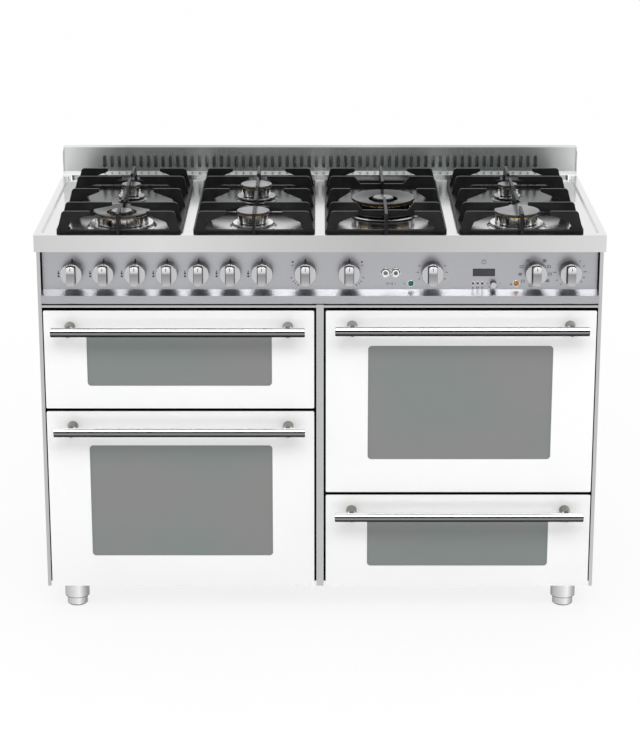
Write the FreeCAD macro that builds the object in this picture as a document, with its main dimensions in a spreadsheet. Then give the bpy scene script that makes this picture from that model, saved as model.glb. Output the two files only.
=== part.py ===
import FreeCAD, Part
import math
import os

import Sketcher
from FreeCAD import Vector

# Free-standing range cooker, 1.2 m wide: seven gas burners on a folded steel hob, a grill oven over a
# main oven on the left, a fan oven over a storage drawer on the right.
# Frame: +X to the right of someone in front of it, +Y to the back, +Z up, in millimetres.
# Origin: on the floor, in the middle of the whole cooker's footprint.

DIMENSIONS = {
    # Overall
    "hob_width": 1196,
    "hob_depth": 600,
    "hob_height": 857,
    "feet_height": 60,
    "sheet": 1.5,
    # Hob
    "hob_skirt": 36,
    "hob_rim": 14,
    "hob_recess": 6,
    "hob_corner_radius": 3,
    "hob_rear_strip": 40,
    "burner_dish": 6,
    "burner_dish_margin": 14,
    "burner_dish_slope": 65,
    # Splashback
    "splash_height": 63,
    "splash_depth": 25,
    "splash_fold": 6.5,
    "splash_toe": 12,
    "splash_end_depth": 34,
    "splash_end_radius": 9,
    "vent_count": 60,
    "vent_pitch": 17,
    "vent_width": 8,
    "vent_height": 28,
    "vent_above_hob": 29,
    "vent_hole_radius": 2,
    # Cabinet
    "cabinet_width": 1190,
    "cabinet_depth": 569.5,
    "cabinet_setback": 20,
    "front_strip": 7.5,
    "rear_flange": 15,
    "pillar_width": 15.5,
    "frame_sheet": 1.5,
    "louvre_count": 12,
    "louvre_pitch": 30,
    "louvre_width": 6,
    "louvre_height": 80,
    "louvre_low": 700,
    # Control panel
    "panel_width": 1172,
    "panel_setback": 40,
    "panel_lip_setback": 10,
    "panel_bottom": 702.5,
    "panel_lip_height": 20.5,
    "panel_ledge_rise": 6,
    "panel_lip_bevel": 4,
    "top_rail_height": 4.8,
    "top_rail_gap": 3.5,
    "top_rail_setback": 1,
    # Knobs
    "knob_centre_height": 768,
    "knob_radius": 23.3,
    "knob_front_radius": 22.8,
    "knob_length": 27.5,
    "knob_gap": 0.5,
    "knob_grip_width": 17.5,
    "knob_grip_length": 42,
    "knob_grip_corner": 5,
    "knob_grip_height": 16,
    "knob_mark_length": 7,
    "knob_mark_width": 1.4,
    "knob_mark_margin": 2.5,
    "knob_mark_depth": 0.8,
    "knob_edge_radius": 1.2,
    "spindle_radius": 4,
    "spindle_length": 24,
    "spindle_hole_gap": 1,
    "running_gap": 0.05,
    "gas_knob_pitch": 66.75,
    "gas_knob_first": 522.6,
    "grill_knob_place": 30.8,
    "left_oven_knob_place": 61.6,
    "fan_thermostat_knob_place": 236.8,
    "fan_selector_knob_place": 454.8,
    "light_selector_knob_place": 527.5,
    # Small controls on the panel
    "small_row_height": 742,
    "display_height": 766,
    "button_radius": 8.5,
    "button_length": 16,
    "button_proud": 7,
    "button_travel": 3,
    "button_gap": 0.3,
    "button_ring_depth": 1,
    "button_ring_outer": 5,
    "button_ring_inner": 4.2,
    "ignition_button_place": 138.3,
    "light_button_place": 159.8,
    "timer_knob_place": 366,
    "timer_knob_radius": 7,
    "timer_spindle_radius": 2.5,
    "timer_knob_length": 15,
    "timer_spindle_length": 18,
    "lamp_radius": 5.5,
    "lamp_proud": 4,
    "power_lamp_place": 192,
    "heat_lamp_place": 414.5,
    "led_radius": 3,
    "led_first_place": 323.4,
    "led_pitch": 9.8,
    "display_place": 346,
    "display_width": 47,
    "display_tall": 16.6,
    "lamp_flange": 1.5,
    "lens_gap": 0.1,
    "display_recess": 0.5,
    "switch_wall": 6,
    "clock_left": 318,
    "clock_right": 380,
    "clock_low": 731,
    "clock_high": 784,
    "clock_depth": 28,
    # Doors and drawer
    "door_width": 572.5,
    "door_place": 298.75,
    "door_stack": 627.5,
    "door_gap": 7,
    "left_door_height": 403,
    "drawer_height": 212,
    "door_skin": 2,
    "door_fold": 20,
    "door_corner_radius": 3,
    "liner_sheet": 2,
    "frame_gap": 4,
    "seal_gap": 0.3,
    "seal_width": 8,
    "seal_margin": 2,
    "window_width": 393,
    "window_radius": 8,
    "grill_window_rise": 50.5,
    "grill_window_height": 114,
    "left_window_rise": 71,
    "left_window_height": 255,
    "right_window_rise": 75,
    "right_window_height": 256,
    "drawer_window_rise": 47,
    "drawer_window_height": 116,
    "pane_thickness": 4,
    "pane_margin": 16,
    # Hinges
    "hinge_inset": 8,
    "hinge_rise": 6,
    "hinge_pin_radius": 2,
    "hinge_arm_width": 4,
    "hinge_arm_height": 7,
    "hinge_arm_lead": 5,
    "hinge_ear": 3,
    "hinge_side_gap": 0.5,
    "hinge_slot_gap": 1,
    "hinge_edge_distance": 42,
    # Handles
    "handle_length": 534,
    "handle_radius": 10,
    "handle_standoff": 42,
    "handle_post_radius": 11.5,
    "handle_end_radius": 1.5,
    "handle_post_place": 230.7,
    "grill_handle_rise": 182,
    "left_handle_rise": 370,
    "right_handle_rise": 375.5,
    "drawer_handle_rise": 177,
    # Oven cavities
    "cavity_width": 450,
    "cavity_depth": 400,
    "cavity_flange": 15,
    "cavity_corner": 18,
    "grill_cavity_rise": 35,
    "grill_cavity_height": 150,
    "left_cavity_rise": 35,
    "left_cavity_height": 330,
    "right_cavity_rise": 38,
    "right_cavity_height": 328,
    "rib_depth": 6,
    "rib_height": 8,
    "rib_pitch": 60,
    "rib_first": 40,
    "rib_setback": 15,
    "insulation": 24,
    "shelf_thickness": 5,
    "shelf_side_gap": 2,
    "shelf_bar": 5,
    "shelf_wires": 14,
    "shelf_wire": 3.5,
    "shelf_depth": 320,
    "element_radius": 3.3,
    "element_margin": 60,
    "element_lane": 55,
    "element_bend": 14,
    "element_drop": 14,
    "ring_element_radius": 92,
    # Fan
    "fan_radius": 75,
    "fan_hub_radius": 18,
    "fan_depth": 22,
    "fan_blades": 12,
    "fan_blade_thickness": 2,
    "fan_disc": 1.5,
    "fan_shaft_radius": 4,
    "fan_shaft_in_motor": 20,
    "fan_shaft_hole": 6,
    "fan_back_gap": 12,
    "fan_cover_gap": 8,
    "fan_cover_width": 300,
    "fan_cover_height": 250,
    "intake_count": 9,
    "intake_pitch": 12,
    "intake_width": 5,
    "intake_height": 90,
    "fan_motor_radius": 45,
    "fan_motor_length": 70,
    # Storage drawer
    "tub_width": 452,
    "tub_depth": 460,
    "tub_rise": 20,
    "tub_height": 120,
    "tub_sheet": 2,
    "tub_rail_width": 8,
    "tub_rail_height": 6,
    "runner_gap": 0.3,
    "runner_width": 12,
    "runner_height": 20,
    "bay_margin": 5,
    "bay_side_gap": 1,
    # Feet
    "foot_place": 537,
    "foot_front": 70,
    "foot_rear": 530,
    "foot_collar_radius": 27,
    "foot_collar_height": 40,
    "foot_radius": 22.5,
    "foot_stem_radius": 18,
    "foot_stem_gap": 0.05,
    "foot_cover": 3,
    "foot_chamfer": 2,
    # Pan supports
    "support_place_outer": 421.5,
    "support_place_inner": 138,
    "support_width_outer": 261,
    "support_width_inner": 255,
    "support_front": 20,
    "support_back": 490,
    "support_rod": 10,
    "support_foot": 2,
    "support_top": 46,
    "support_plate": 6,
    "support_leg": 19,
    "support_corner": 8,
    "support_lean": 11,
    "support_tip": 7,
    "short_finger_reach": 59,
    "wok_finger_reach": 72,
    "plate_front": 2,
    "plate_front_tip": 70,
    "plate_knee": 4,
    "plate_slope": 10,
    "plate_middle_reach": 105,
    "plate_dip": 19,
    "plate_dip_reach": 14,
    "plate_rear_tip": 375,
    "plate_rear_end": 452,
    "wok_plate_front_tip": 150,
    "wok_plate_rear_tip": 300,
    "long_finger_reach": 20,
    "finger_slope_run": 12,
    "finger_slope_rise": 16,
    "wok_bar_dip": 17,
    "wok_bar_dip_reach": 48,
    "wok_bar_dip_slope": 14,
    "wok_bar_height": 12,
    "support_foot_inset": 15,
    "row_rear": 430,
    "row_rear_burner": 350,
    "row_middle": 230,
    "row_front_burner": 105,
    # Burners
    "front_burner_row": 107,
    "rear_burner_row": 354,
    "wok_burner_row": 228.5,
    "burner_left_place": 421.5,
    "burner_inner_place": 142,
    "wok_burner_place": 137.5,
    "burner_right_place": 418.6,
    "burner_top": 28,
    "burner_cap": 6,
    "cup_flange": 2,
    "cup_flange_margin": 9,
    "cup_depth": 26,
    "cup_wall": 2,
    "cup_gap": 0.5,
    "head_spigot": 10,
    "head_wall": 3.5,
    "head_rim": 3.5,
    "cap_rim": 2,
    "ring_inner_radius": 34,
    "jet_radius": 6,
    "jet_height": 10,
    "port_width": 2.2,
    "port_height": 4,
    "auxiliary_ports": 16,
    "medium_ports": 24,
    "rapid_ports": 32,
    "ring_ports": 42,
    "auxiliary_radius": 22.5,
    "medium_radius": 36,
    "rapid_radius": 49.5,
    "triple_radius": 60,
    "wok_radius": 69,
    "centre_cap_radius": 23,
    # Gas
    "gas_rail_side": 18,
    "gas_tap_radius": 11,
    "gas_tap_length": 40,
    "gas_saddle_width": 15,
    "gas_pipe_radius": 4,
    "gas_pipe_bend": 8,
    "gas_pipe_setback": 16,
    "gas_pipe_long_setback": 28,
    "gas_pipe_low": 790,
    "gas_pipe_step": 10,
    "gas_rail_wall": 2,
    "gas_tap_drop": 15,
    "gas_rail_setback": 12,
    "gas_rail_end": 30,
    "gas_inlet_radius": 8,
    "gas_inlet_bore": 5.5,
    "gas_thread_radius": 10.5,
    "gas_thread_length": 10,
    "gas_inlet_place": 540,
    "pipe_hole_gap": 1,
    "cable_gland_radius": 9,
    "cable_gland_wall": 3,
    "cable_gland_length": 10,
    "cable_gland_place": 480,
    "cable_gland_height": 120,
    "switch_side": 38,
    "switch_length": 36,
}


class Size:
    """A measure that carries its value and the formula that ties it to the sheet."""

    def __init__(self, value, formula):
        self.value = value
        self.formula = formula

    def __add__(self, other):
        return Size(self.value + value_of(other), f"({self.formula} + {formula_of(other)})")

    def __radd__(self, other):
        return Size(value_of(other) + self.value, f"({formula_of(other)} + {self.formula})")

    def __sub__(self, other):
        return Size(self.value - value_of(other), f"({self.formula} - {formula_of(other)})")

    def __rsub__(self, other):
        return Size(value_of(other) - self.value, f"({formula_of(other)} - {self.formula})")

    def __mul__(self, other):
        return Size(self.value * value_of(other), f"({self.formula} * {formula_of(other)})")

    __rmul__ = __mul__

    def __truediv__(self, other):
        return Size(self.value / value_of(other), f"({self.formula} / {formula_of(other)})")

    def __neg__(self):
        return Size(-self.value, f"(-1 * {self.formula})")


def value_of(size):
    return size.value if isinstance(size, Size) else float(size)


def formula_of(size):
    return size.formula if isinstance(size, Size) else f"({float(size):.12g})"


class Sizes:
    """The driving dimensions, each under its own name."""


doc = FreeCAD.newDocument("RangeCooker")
sheet = doc.addObject("Spreadsheet::Sheet", "Dims")
size = Sizes()
for row, (alias, number) in enumerate(DIMENSIONS.items(), start=1):
    sheet.set(f"A{row}", alias)
    sheet.set(f"B{row}", str(number))
    sheet.setAlias(f"B{row}", alias)
    setattr(size, alias, Size(float(number), f"Dims.{alias}"))
doc.recompute()

# ---------------------------------------------------------------- places that follow from the sizes

handle_reach = size.handle_standoff + size.handle_radius - size.cabinet_setback
hob_front = -(size.hob_depth - handle_reach) / 2
hob_back = hob_front + size.hob_depth
door_plane = hob_front + size.cabinet_setback
liner_back = door_plane + size.door_fold + size.liner_sheet
frame_front = liner_back + size.frame_gap
frame_back = frame_front + size.frame_sheet
cabinet_back = door_plane + size.cabinet_depth
back_panel_front = cabinet_back - 2 * size.sheet
panel_face = hob_front + size.panel_setback
panel_back = panel_face + size.sheet
deck = size.hob_height - size.hob_recess
deck_underside = deck - size.sheet
skirt_bottom = size.hob_height - size.hob_skirt
cabinet_side = size.cabinet_width / 2
side_inner = cabinet_side - size.sheet
strip_inner = cabinet_side - size.front_strip
floor_of_cabinet = size.feet_height
tray_top = size.feet_height + size.frame_sheet
grill_door_base = size.feet_height + size.left_door_height + size.door_gap
grill_door_height = size.door_stack - size.left_door_height - size.door_gap
right_door_base = size.feet_height + size.drawer_height + size.door_gap
right_door_height = size.door_stack - size.drawer_height - size.door_gap
dish_top = deck + size.burner_dish
burner_top = size.hob_height + size.burner_top
support_top = size.hob_height + size.support_top
support_rod_bottom = deck + size.support_foot
support_rod_top = support_rod_bottom + size.support_rod

# ---------------------------------------------------------------- drawing helpers


def bind(target, name, measure):
    target.setExpression(name, formula_of(measure))


def place(target, x, y, z):
    bind(target, "Placement.Base.x", x)
    bind(target, "Placement.Base.y", y)
    bind(target, "Placement.Base.z", z)


def face_front(target):
    """Turns a piece that was built along +Z so that it points to the front of the cooker."""
    target.Placement = FreeCAD.Placement(Vector(), FreeCAD.Rotation(Vector(1, 0, 0), 90))


def new_body(label):
    body = doc.addObject("PartDesign::Body", label)
    body.Label = label
    return body


def plane_of(body, role):
    return next(feature for feature in body.Origin.OriginFeatures if feature.Role == role)


def sketch_on(body, role, offset):
    sketch = body.newObject("Sketcher::SketchObject", "Sketch")
    sketch.AttachmentSupport = [(plane_of(body, role), "")]
    sketch.MapMode = "FlatFace"
    bind(sketch, "AttachmentOffset.Base.z", offset)
    return sketch


def level_sketch(body, z=0):
    """Sketch in a horizontal plane: its axes are X and Y."""
    return sketch_on(body, "XY_Plane", z)


def front_sketch(body, y=0):
    """Sketch in a plane that faces the front: its axes are X and Z."""
    return sketch_on(body, "XZ_Plane", -y)


def side_sketch(body, x=0):
    """Sketch in a plane that faces the side: its axes are Y and Z."""
    return sketch_on(body, "YZ_Plane", x)


def hold(sketch, kind, geometry, point, measure):
    """Holds a point at a distance from the sketch's origin that follows the sheet."""
    constraint = Sketcher.Constraint(kind, -1, 1, geometry, point, value_of(measure))
    index = sketch.addConstraint(constraint)
    bind(sketch, f"Constraints[{index}]", measure)


def flat_point(x, y):
    return Vector(value_of(x), value_of(y), 0)


def add_arc(sketch, start, finish, centre, path_turns_left):
    """Adds an arc and returns the point numbers of its start and finish along the path."""
    turn = (start - centre).cross(finish - start).z
    leftwards = path_turns_left if abs(turn) < 1e-6 else turn > 0
    first, last = (start, finish) if leftwards else (finish, start)
    circle = Part.Circle(centre, Vector(0, 0, 1), (start - centre).Length)
    sketch.addGeometry(Part.ArcOfCircle(circle, circle.parameter(first), circle.parameter(last)), False)
    return (1, 2) if leftwards else (2, 1)


def encloses_leftwards(path):
    """True for a path that goes round anticlockwise."""
    points = [flat_point(*item[:2]) for item in path]
    return sum(a.cross(b).z for a, b in zip(points, points[1:] + points[:1])) > 0


def outline(sketch, path):
    """Closed outline. An item of the path is a corner (x, y), or (x, y, centre_x, centre_y) where
    an arc about that centre leads to the next item. A half circle bulges outwards."""
    first = sketch.GeometryCount
    path_turns_left = encloses_leftwards(path)
    ends = []
    for index, item in enumerate(path):
        start = flat_point(*item[:2])
        finish = flat_point(*path[(index + 1) % len(path)][:2])
        if len(item) == 2:
            sketch.addGeometry(Part.LineSegment(start, finish), False)
            ends.append((1, 2))
        else:
            centre = flat_point(*item[2:])
            ends.append(add_arc(sketch, start, finish, centre, path_turns_left))
    for index, item in enumerate(path):
        following = (index + 1) % len(path)
        sketch.addConstraint(Sketcher.Constraint(
            "Coincident", first + index, ends[index][1], first + following, ends[following][0]))
    for index, item in enumerate(path):
        hold(sketch, "DistanceX", first + index, ends[index][0], item[0])
        hold(sketch, "DistanceY", first + index, ends[index][0], item[1])
        if len(item) == 4:
            chord = flat_point(*path[(index + 1) % len(path)][:2]) - flat_point(*item[:2])
            if abs(chord.x) > abs(chord.y):
                hold(sketch, "DistanceY", first + index, 3, item[3])
            else:
                hold(sketch, "DistanceX", first + index, 3, item[2])


def rectangle(sketch, left, right, low, high):
    outline(sketch, [(left, low), (right, low), (right, high), (left, high)])


def rounded_rectangle(sketch, left, right, low, high, radius):
    outline(sketch, [
        (left + radius, low),
        (right - radius, low, right - radius, low + radius),
        (right, low + radius),
        (right, high - radius, right - radius, high - radius),
        (right - radius, high),
        (left + radius, high, left + radius, high - radius),
        (left, high - radius),
        (left, low + radius, left + radius, low + radius),
    ])


def upright_slot(sketch, x, low, high, width):
    """Slot with round ends, standing upright."""
    radius = width / 2
    outline(sketch, [
        (x + radius, low + radius),
        (x + radius, high - radius, x, high - radius),
        (x - radius, high - radius),
        (x - radius, low + radius, x, low + radius),
    ])


def circle(sketch, x, y, radius):
    index = sketch.addGeometry(Part.Circle(flat_point(x, y), Vector(0, 0, 1), value_of(radius)), False)
    hold(sketch, "DistanceX", index, 3, x)
    hold(sketch, "DistanceY", index, 3, y)
    constraint = sketch.addConstraint(Sketcher.Constraint("Radius", index, value_of(radius)))
    bind(sketch, f"Constraints[{constraint}]", radius)


def pad(body, sketch, length, backwards=False, midplane=False):
    feature = body.newObject("PartDesign::Pad", "Pad")
    feature.Profile = sketch
    bind(feature, "Length", length)
    feature.Reversed = backwards
    feature.Midplane = midplane
    return feature


def pocket(body, sketch, length, forwards=False, midplane=False):
    feature = body.newObject("PartDesign::Pocket", "Pocket")
    feature.Profile = sketch
    bind(feature, "Length", length)
    feature.Reversed = forwards
    feature.Midplane = midplane
    return feature


def revolve(body, path):
    """Solid of revolution about Z from an outline of (radius, height) corners."""
    sketch = front_sketch(body)
    outline(sketch, path)
    feature = body.newObject("PartDesign::Revolution", "Revolution")
    feature.Profile = sketch
    feature.ReferenceAxis = (sketch, ["V_Axis"])
    feature.Angle = 360
    return feature


def mirrored(body, features):
    """Repeats features on the other side of the body's YZ plane."""
    mirror = body.newObject("PartDesign::Mirrored", "Mirrored")
    mirror.Originals = features
    mirror.MirrorPlane = (plane_of(body, "YZ_Plane"), [""])
    body.Tip = mirror
    return mirror


def row_of(body, feature, count, pitch):
    """Repeats a feature along +X."""
    pattern = body.newObject("PartDesign::LinearPattern", "LinearPattern")
    pattern.Originals = [feature]
    pattern.Direction = (plane_of(body, "X_Axis"), [""])
    bind(pattern, "Length", pitch * (count - 1))
    bind(pattern, "Occurrences", count)
    body.Tip = pattern
    return pattern


def ring_of(body, feature, count):
    """Repeats a feature round the Z axis."""
    pattern = body.newObject("PartDesign::PolarPattern", "PolarPattern")
    pattern.Originals = [feature]
    pattern.Axis = (plane_of(body, "Z_Axis"), [""])
    pattern.Angle = 360
    bind(pattern, "Occurrences", count)
    body.Tip = pattern
    return pattern


def round_edges(body, radius, wanted):
    """Fillets every edge of the body so far that the test picks out."""
    doc.recompute()
    base = body.Tip
    names = [f"Edge{index}" for index, edge in enumerate(base.Shape.Edges, start=1) if wanted(edge)]
    fillet = body.newObject("PartDesign::Fillet", "Fillet")
    fillet.Base = (base, names)
    bind(fillet, "Radius", radius)
    return fillet


def runs_along(edge, axis):
    """True for a straight edge parallel to an axis."""
    if edge.Curve.TypeId != "Part::GeomLine":
        return False
    return abs(abs(edge.tangentAt(edge.FirstParameter).dot(axis)) - 1) < 1e-6


def block(label, left, right, front, back, low, high):
    box = doc.addObject("Part::Box", label)
    box.Label = label
    bind(box, "Length", right - left)
    bind(box, "Width", back - front)
    bind(box, "Height", high - low)
    place(box, left, front, low)
    return box


def group(label, pieces):
    """One node of separate solids."""
    compound = doc.addObject("Part::Compound", label)
    compound.Label = label
    compound.Links = pieces
    return compound


def cut(label, base, tool):
    feature = doc.addObject("Part::Cut", label)
    feature.Label = label
    feature.Base = base
    feature.Tool = tool
    return feature


def fuse(label, pieces):
    feature = doc.addObject("Part::MultiFuse", label)
    feature.Label = label
    feature.Shapes = pieces
    return feature


Z_DIRECTION = Vector(0, 0, 1)


def spatial_point(x, y, z):
    return Vector(value_of(x), value_of(y), value_of(z))


def bent_rod(label, points, radius, bend):
    """Round rod along straight runs with an arc of the bend radius at each turn."""
    edges = []
    start = points[0]
    for corner, after in zip(points[1:-1], points[2:]):
        arriving = (corner - start).normalize()
        leaving = (after - corner).normalize()
        turn = arriving.getAngle(leaving)
        reach = bend * math.tan(turn / 2)
        arc_start = corner - arriving * reach
        arc_end = corner + leaving * reach
        towards_centre = (leaving - arriving).normalize()
        centre = corner + towards_centre * (bend / math.cos(turn / 2))
        middle = centre - towards_centre * bend
        edges.append(Part.LineSegment(start, arc_start).toShape())
        edges.append(Part.Arc(arc_start, middle, arc_end).toShape())
        start = arc_end
    edges.append(Part.LineSegment(start, points[-1]).toShape())
    direction = (points[1] - points[0]).normalize()
    section = Part.Wire([Part.Circle(points[0], direction, radius).toShape()])
    feature = doc.addObject("Part::Feature", label)
    feature.Label = label
    feature.Shape = Part.Wire(edges).makePipeShell([section], True, True)
    return feature


# ---------------------------------------------------------------- burners: place, row and radius

BURNERS = {
    "left_rear": (-size.burner_left_place, size.rear_burner_row, size.auxiliary_radius, size.auxiliary_ports),
    "left_front": (-size.burner_left_place, size.front_burner_row, size.triple_radius, size.ring_ports),
    "inner_front": (-size.burner_inner_place, size.front_burner_row, size.medium_radius, size.medium_ports),
    "inner_rear": (-size.burner_inner_place, size.rear_burner_row, size.medium_radius, size.medium_ports),
    "wok": (size.wok_burner_place, size.wok_burner_row, size.wok_radius, size.ring_ports),
    "right_rear": (size.burner_right_place, size.rear_burner_row, size.auxiliary_radius, size.auxiliary_ports),
    "right_front": (size.burner_right_place, size.front_burner_row, size.rapid_radius, size.rapid_ports),
}
RING_BURNERS = ("left_front", "wok")
UPPER_PIPES = ("wok",)
LOWER_PIPES = ("inner_front",)


def burner_hole_radius(radius):
    return radius - size.cup_wall


def make_hob_top():
    """Folded steel hob with a raised rim, a dish round each burner and the burner holes."""
    body = new_body("hob_top")
    half = size.hob_width / 2
    block_sketch = level_sketch(body, skirt_bottom)
    rectangle(block_sketch, -half, half, hob_front, hob_back)
    pad(body, block_sketch, size.hob_skirt)
    hollow = level_sketch(body, skirt_bottom)
    rectangle(hollow, size.sheet - half, half - size.sheet, hob_front + size.sheet, hob_back - size.sheet)
    pocket(body, hollow, deck_underside - skirt_bottom, forwards=True)
    recess = level_sketch(body, size.hob_height)
    rounded_rectangle(recess, size.hob_rim - half, half - size.hob_rim, hob_front + size.hob_rim,
                      hob_back - size.hob_rear_strip, size.hob_rim)
    pocket(body, recess, size.hob_recess)
    dishes = level_sketch(body, deck)
    holes = level_sketch(body, dish_top)
    for x, row, radius, _ in BURNERS.values():
        circle(dishes, x, hob_front + row, radius + size.burner_dish_margin)
        circle(holes, x, hob_front + row, burner_hole_radius(radius))
    bind(pad(body, dishes, size.burner_dish), "TaperAngle", -size.burner_dish_slope)
    pocket(body, holes, dish_top - deck_underside)
    round_edges(body, size.hob_corner_radius, lambda edge: runs_along(edge, Z_DIRECTION)
                and abs(abs(edge.BoundBox.Center.x) - half.value) < 1e-6
                and abs(edge.BoundBox.Center.y - hob_front.value) < 1e-6)
    return body


def make_splashback():
    """Upright at the back: a folded box section with a row of vent slots and closed ends."""
    body = new_body("splashback")
    half = size.hob_width / 2
    face = hob_back - size.splash_depth
    toe = face - size.splash_toe
    top = size.hob_height + size.splash_height
    fold = size.hob_height + size.splash_fold
    section = side_sketch(body, -half)
    outline(section, [
        (toe, size.hob_height),
        (toe + 2 * size.sheet, size.hob_height),
        (face + size.sheet, fold),
        (face + size.sheet, top - size.sheet),
        (hob_back - size.sheet, top - size.sheet),
        (hob_back - size.sheet, size.hob_height),
        (hob_back, size.hob_height),
        (hob_back, top),
        (face, top),
        (face, fold),
    ])
    pad(body, section, size.hob_width)
    end_front = hob_back - size.splash_end_depth
    radius = size.splash_end_radius
    end = side_sketch(body, -half)
    outline(end, [
        (end_front, size.hob_height),
        (hob_back, size.hob_height),
        (hob_back, top),
        (end_front + radius, top, end_front + radius, top - radius),
        (end_front, top - radius),
    ])
    mirrored(body, [pad(body, end, size.sheet)])
    first = -(size.vent_count - 1) * size.vent_pitch / 2
    slot_middle = size.hob_height + size.vent_above_hob
    slot = front_sketch(body, face)
    upright_slot(slot, first, slot_middle - size.vent_height / 2, slot_middle + size.vent_height / 2,
                 size.vent_width)
    row_of(body, pocket(body, slot, 2 * size.sheet), size.vent_count, size.vent_pitch)
    hole = level_sketch(body, fold)
    circle(hole, first, (toe + face) / 2, size.vent_hole_radius)
    row_of(body, pocket(body, hole, fold - size.hob_height), size.vent_count, size.vent_pitch)
    return body


def make_side_panel(label, side):
    """Folded side sheet: the narrow front strip, the side and the rear flange."""
    body = new_body(label)
    profile = level_sketch(body, floor_of_cabinet)
    outline(profile, [
        (side * strip_inner, door_plane),
        (side * cabinet_side, door_plane),
        (side * cabinet_side, cabinet_back),
        (side * (cabinet_side - size.rear_flange), cabinet_back),
        (side * (cabinet_side - size.rear_flange), cabinet_back - size.sheet),
        (side * side_inner, cabinet_back - size.sheet),
        (side * side_inner, door_plane + size.sheet),
        (side * strip_inner, door_plane + size.sheet),
    ])
    pad(body, profile, deck_underside - floor_of_cabinet)
    return body


def make_back_panel():
    """Rear sheet with cooling louvres, the gas pipe's hole and the cable gland."""
    body = new_body("back_panel")
    plate = front_sketch(body, back_panel_front)
    rectangle(plate, -side_inner, side_inner, tray_top, deck_underside)
    pad(body, plate, size.sheet, backwards=True)
    gland_outer = size.cable_gland_radius + size.cable_gland_wall
    gland = front_sketch(body, back_panel_front + size.sheet)
    circle(gland, size.cable_gland_place, size.cable_gland_height, gland_outer)
    pad(body, gland, size.cable_gland_length, backwards=True)
    entry = front_sketch(body, back_panel_front)
    circle(entry, size.cable_gland_place, size.cable_gland_height, size.cable_gland_radius)
    pocket(body, entry, size.sheet + size.cable_gland_length)
    pipe_hole = front_sketch(body, back_panel_front)
    circle(pipe_hole, -size.gas_inlet_place, rail_middle, size.gas_thread_radius + size.pipe_hole_gap)
    pocket(body, pipe_hole, size.sheet)
    louvre = front_sketch(body, back_panel_front)
    upright_slot(louvre, -(size.louvre_count - 1) * size.louvre_pitch / 2, size.louvre_low,
                 size.louvre_low + size.louvre_height, size.louvre_width)
    row_of(body, pocket(body, louvre, size.sheet), size.louvre_count, size.louvre_pitch)
    return body


DOORS = {
    "grill": {
        "x": -size.door_place,
        "base": grill_door_base,
        "height": grill_door_height,
        "window_rise": size.grill_window_rise,
        "window_height": size.grill_window_height,
        "handle_rise": size.grill_handle_rise,
        "cavity_rise": size.grill_cavity_rise,
        "cavity_height": size.grill_cavity_height,
        "ribs": 1,
    },
    "left": {
        "x": -size.door_place,
        "base": size.feet_height,
        "height": size.left_door_height,
        "window_rise": size.left_window_rise,
        "window_height": size.left_window_height,
        "handle_rise": size.left_handle_rise,
        "cavity_rise": size.left_cavity_rise,
        "cavity_height": size.left_cavity_height,
        "ribs": 4,
    },
    "right": {
        "x": size.door_place,
        "base": right_door_base,
        "height": right_door_height,
        "window_rise": size.right_window_rise,
        "window_height": size.right_window_height,
        "handle_rise": size.right_handle_rise,
        "cavity_rise": size.right_cavity_rise,
        "cavity_height": size.right_cavity_height,
        "ribs": 4,
    },
}
DRAWER = {
    "x": size.door_place,
    "base": size.feet_height,
    "height": size.drawer_height,
    "window_rise": size.drawer_window_rise,
    "window_height": size.drawer_window_height,
    "handle_rise": size.drawer_handle_rise,
}
door_half = size.door_width / 2
cavity_half = size.cavity_width / 2
bay_half = size.tub_width / 2 + size.tub_rail_width + size.bay_side_gap
bay_low = size.feet_height + size.tub_rise - size.bay_margin
bay_high = size.feet_height + size.tub_rise + size.tub_height + size.bay_margin
hinge_place = door_half - size.hinge_edge_distance


def set_on_door(piece, door):
    """Places a piece that was drawn from the middle of a door's bottom edge."""
    place(piece, door["x"], door_plane, door["base"])
    return piece


def make_front_frame():
    """Face plate round the ovens and the drawer bay, the centre pillar with a top rail on each
    side, and the arms that carry the door hinges."""
    plate = new_body("face_plate")
    face = front_sketch(plate, frame_front)
    rectangle(face, -side_inner, side_inner, tray_top, size.panel_bottom)
    for door in DOORS.values():
        low = door["base"] + door["cavity_rise"]
        rounded_rectangle(face, door["x"] - cavity_half, door["x"] + cavity_half, low,
                          low + door["cavity_height"], size.cavity_corner)
    rectangle(face, DRAWER["x"] - bay_half, DRAWER["x"] + bay_half, bay_low, bay_high)
    pad(plate, face, size.frame_sheet, backwards=True)
    half = size.pillar_width / 2
    pillar = new_body("centre_pillar")
    channel = level_sketch(pillar, size.feet_height)
    outline(channel, [
        (-half, door_plane),
        (half, door_plane),
        (half, frame_front),
        (half - size.sheet, frame_front),
        (half - size.sheet, door_plane + size.sheet),
        (size.sheet - half, door_plane + size.sheet),
        (size.sheet - half, frame_front),
        (-half, frame_front),
    ])
    pad(pillar, channel, size.panel_bottom - size.feet_height)
    pieces = [plate, pillar]
    rail_top = size.panel_bottom - size.top_rail_gap
    rail_front = door_plane + size.top_rail_setback
    for name, left, right in (("left", -strip_inner, -half), ("right", half, strip_inner)):
        pieces.append(block(f"top_rail_{name}", left, right, rail_front, frame_front,
                            rail_top - size.top_rail_height, rail_top))
    for name, door in DOORS.items():
        for end, side in (("left", -1), ("right", 1)):
            pieces.append(make_hinge_arm(f"hinge_arm_{name}_{end}", door["x"] + side * hinge_place,
                                         door["base"] + size.hinge_rise))
    return group("front_frame", pieces)


def make_hinge_arm(label, x, z):
    """Arm from the face plate to the hinge axis, with a round nose and the pin's bore."""
    body = new_body(label)
    axis = door_plane + size.hinge_inset
    half = size.hinge_arm_height / 2
    arm = side_sketch(body, x - size.hinge_arm_width / 2)
    outline(arm, [
        (frame_front, z - half),
        (frame_front, z + half),
        (axis, z + half, axis, z),
        (axis, z - half),
    ])
    circle(arm, axis, z, size.hinge_pin_radius + size.running_gap)
    pad(body, arm, size.hinge_arm_width)
    return body


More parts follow.
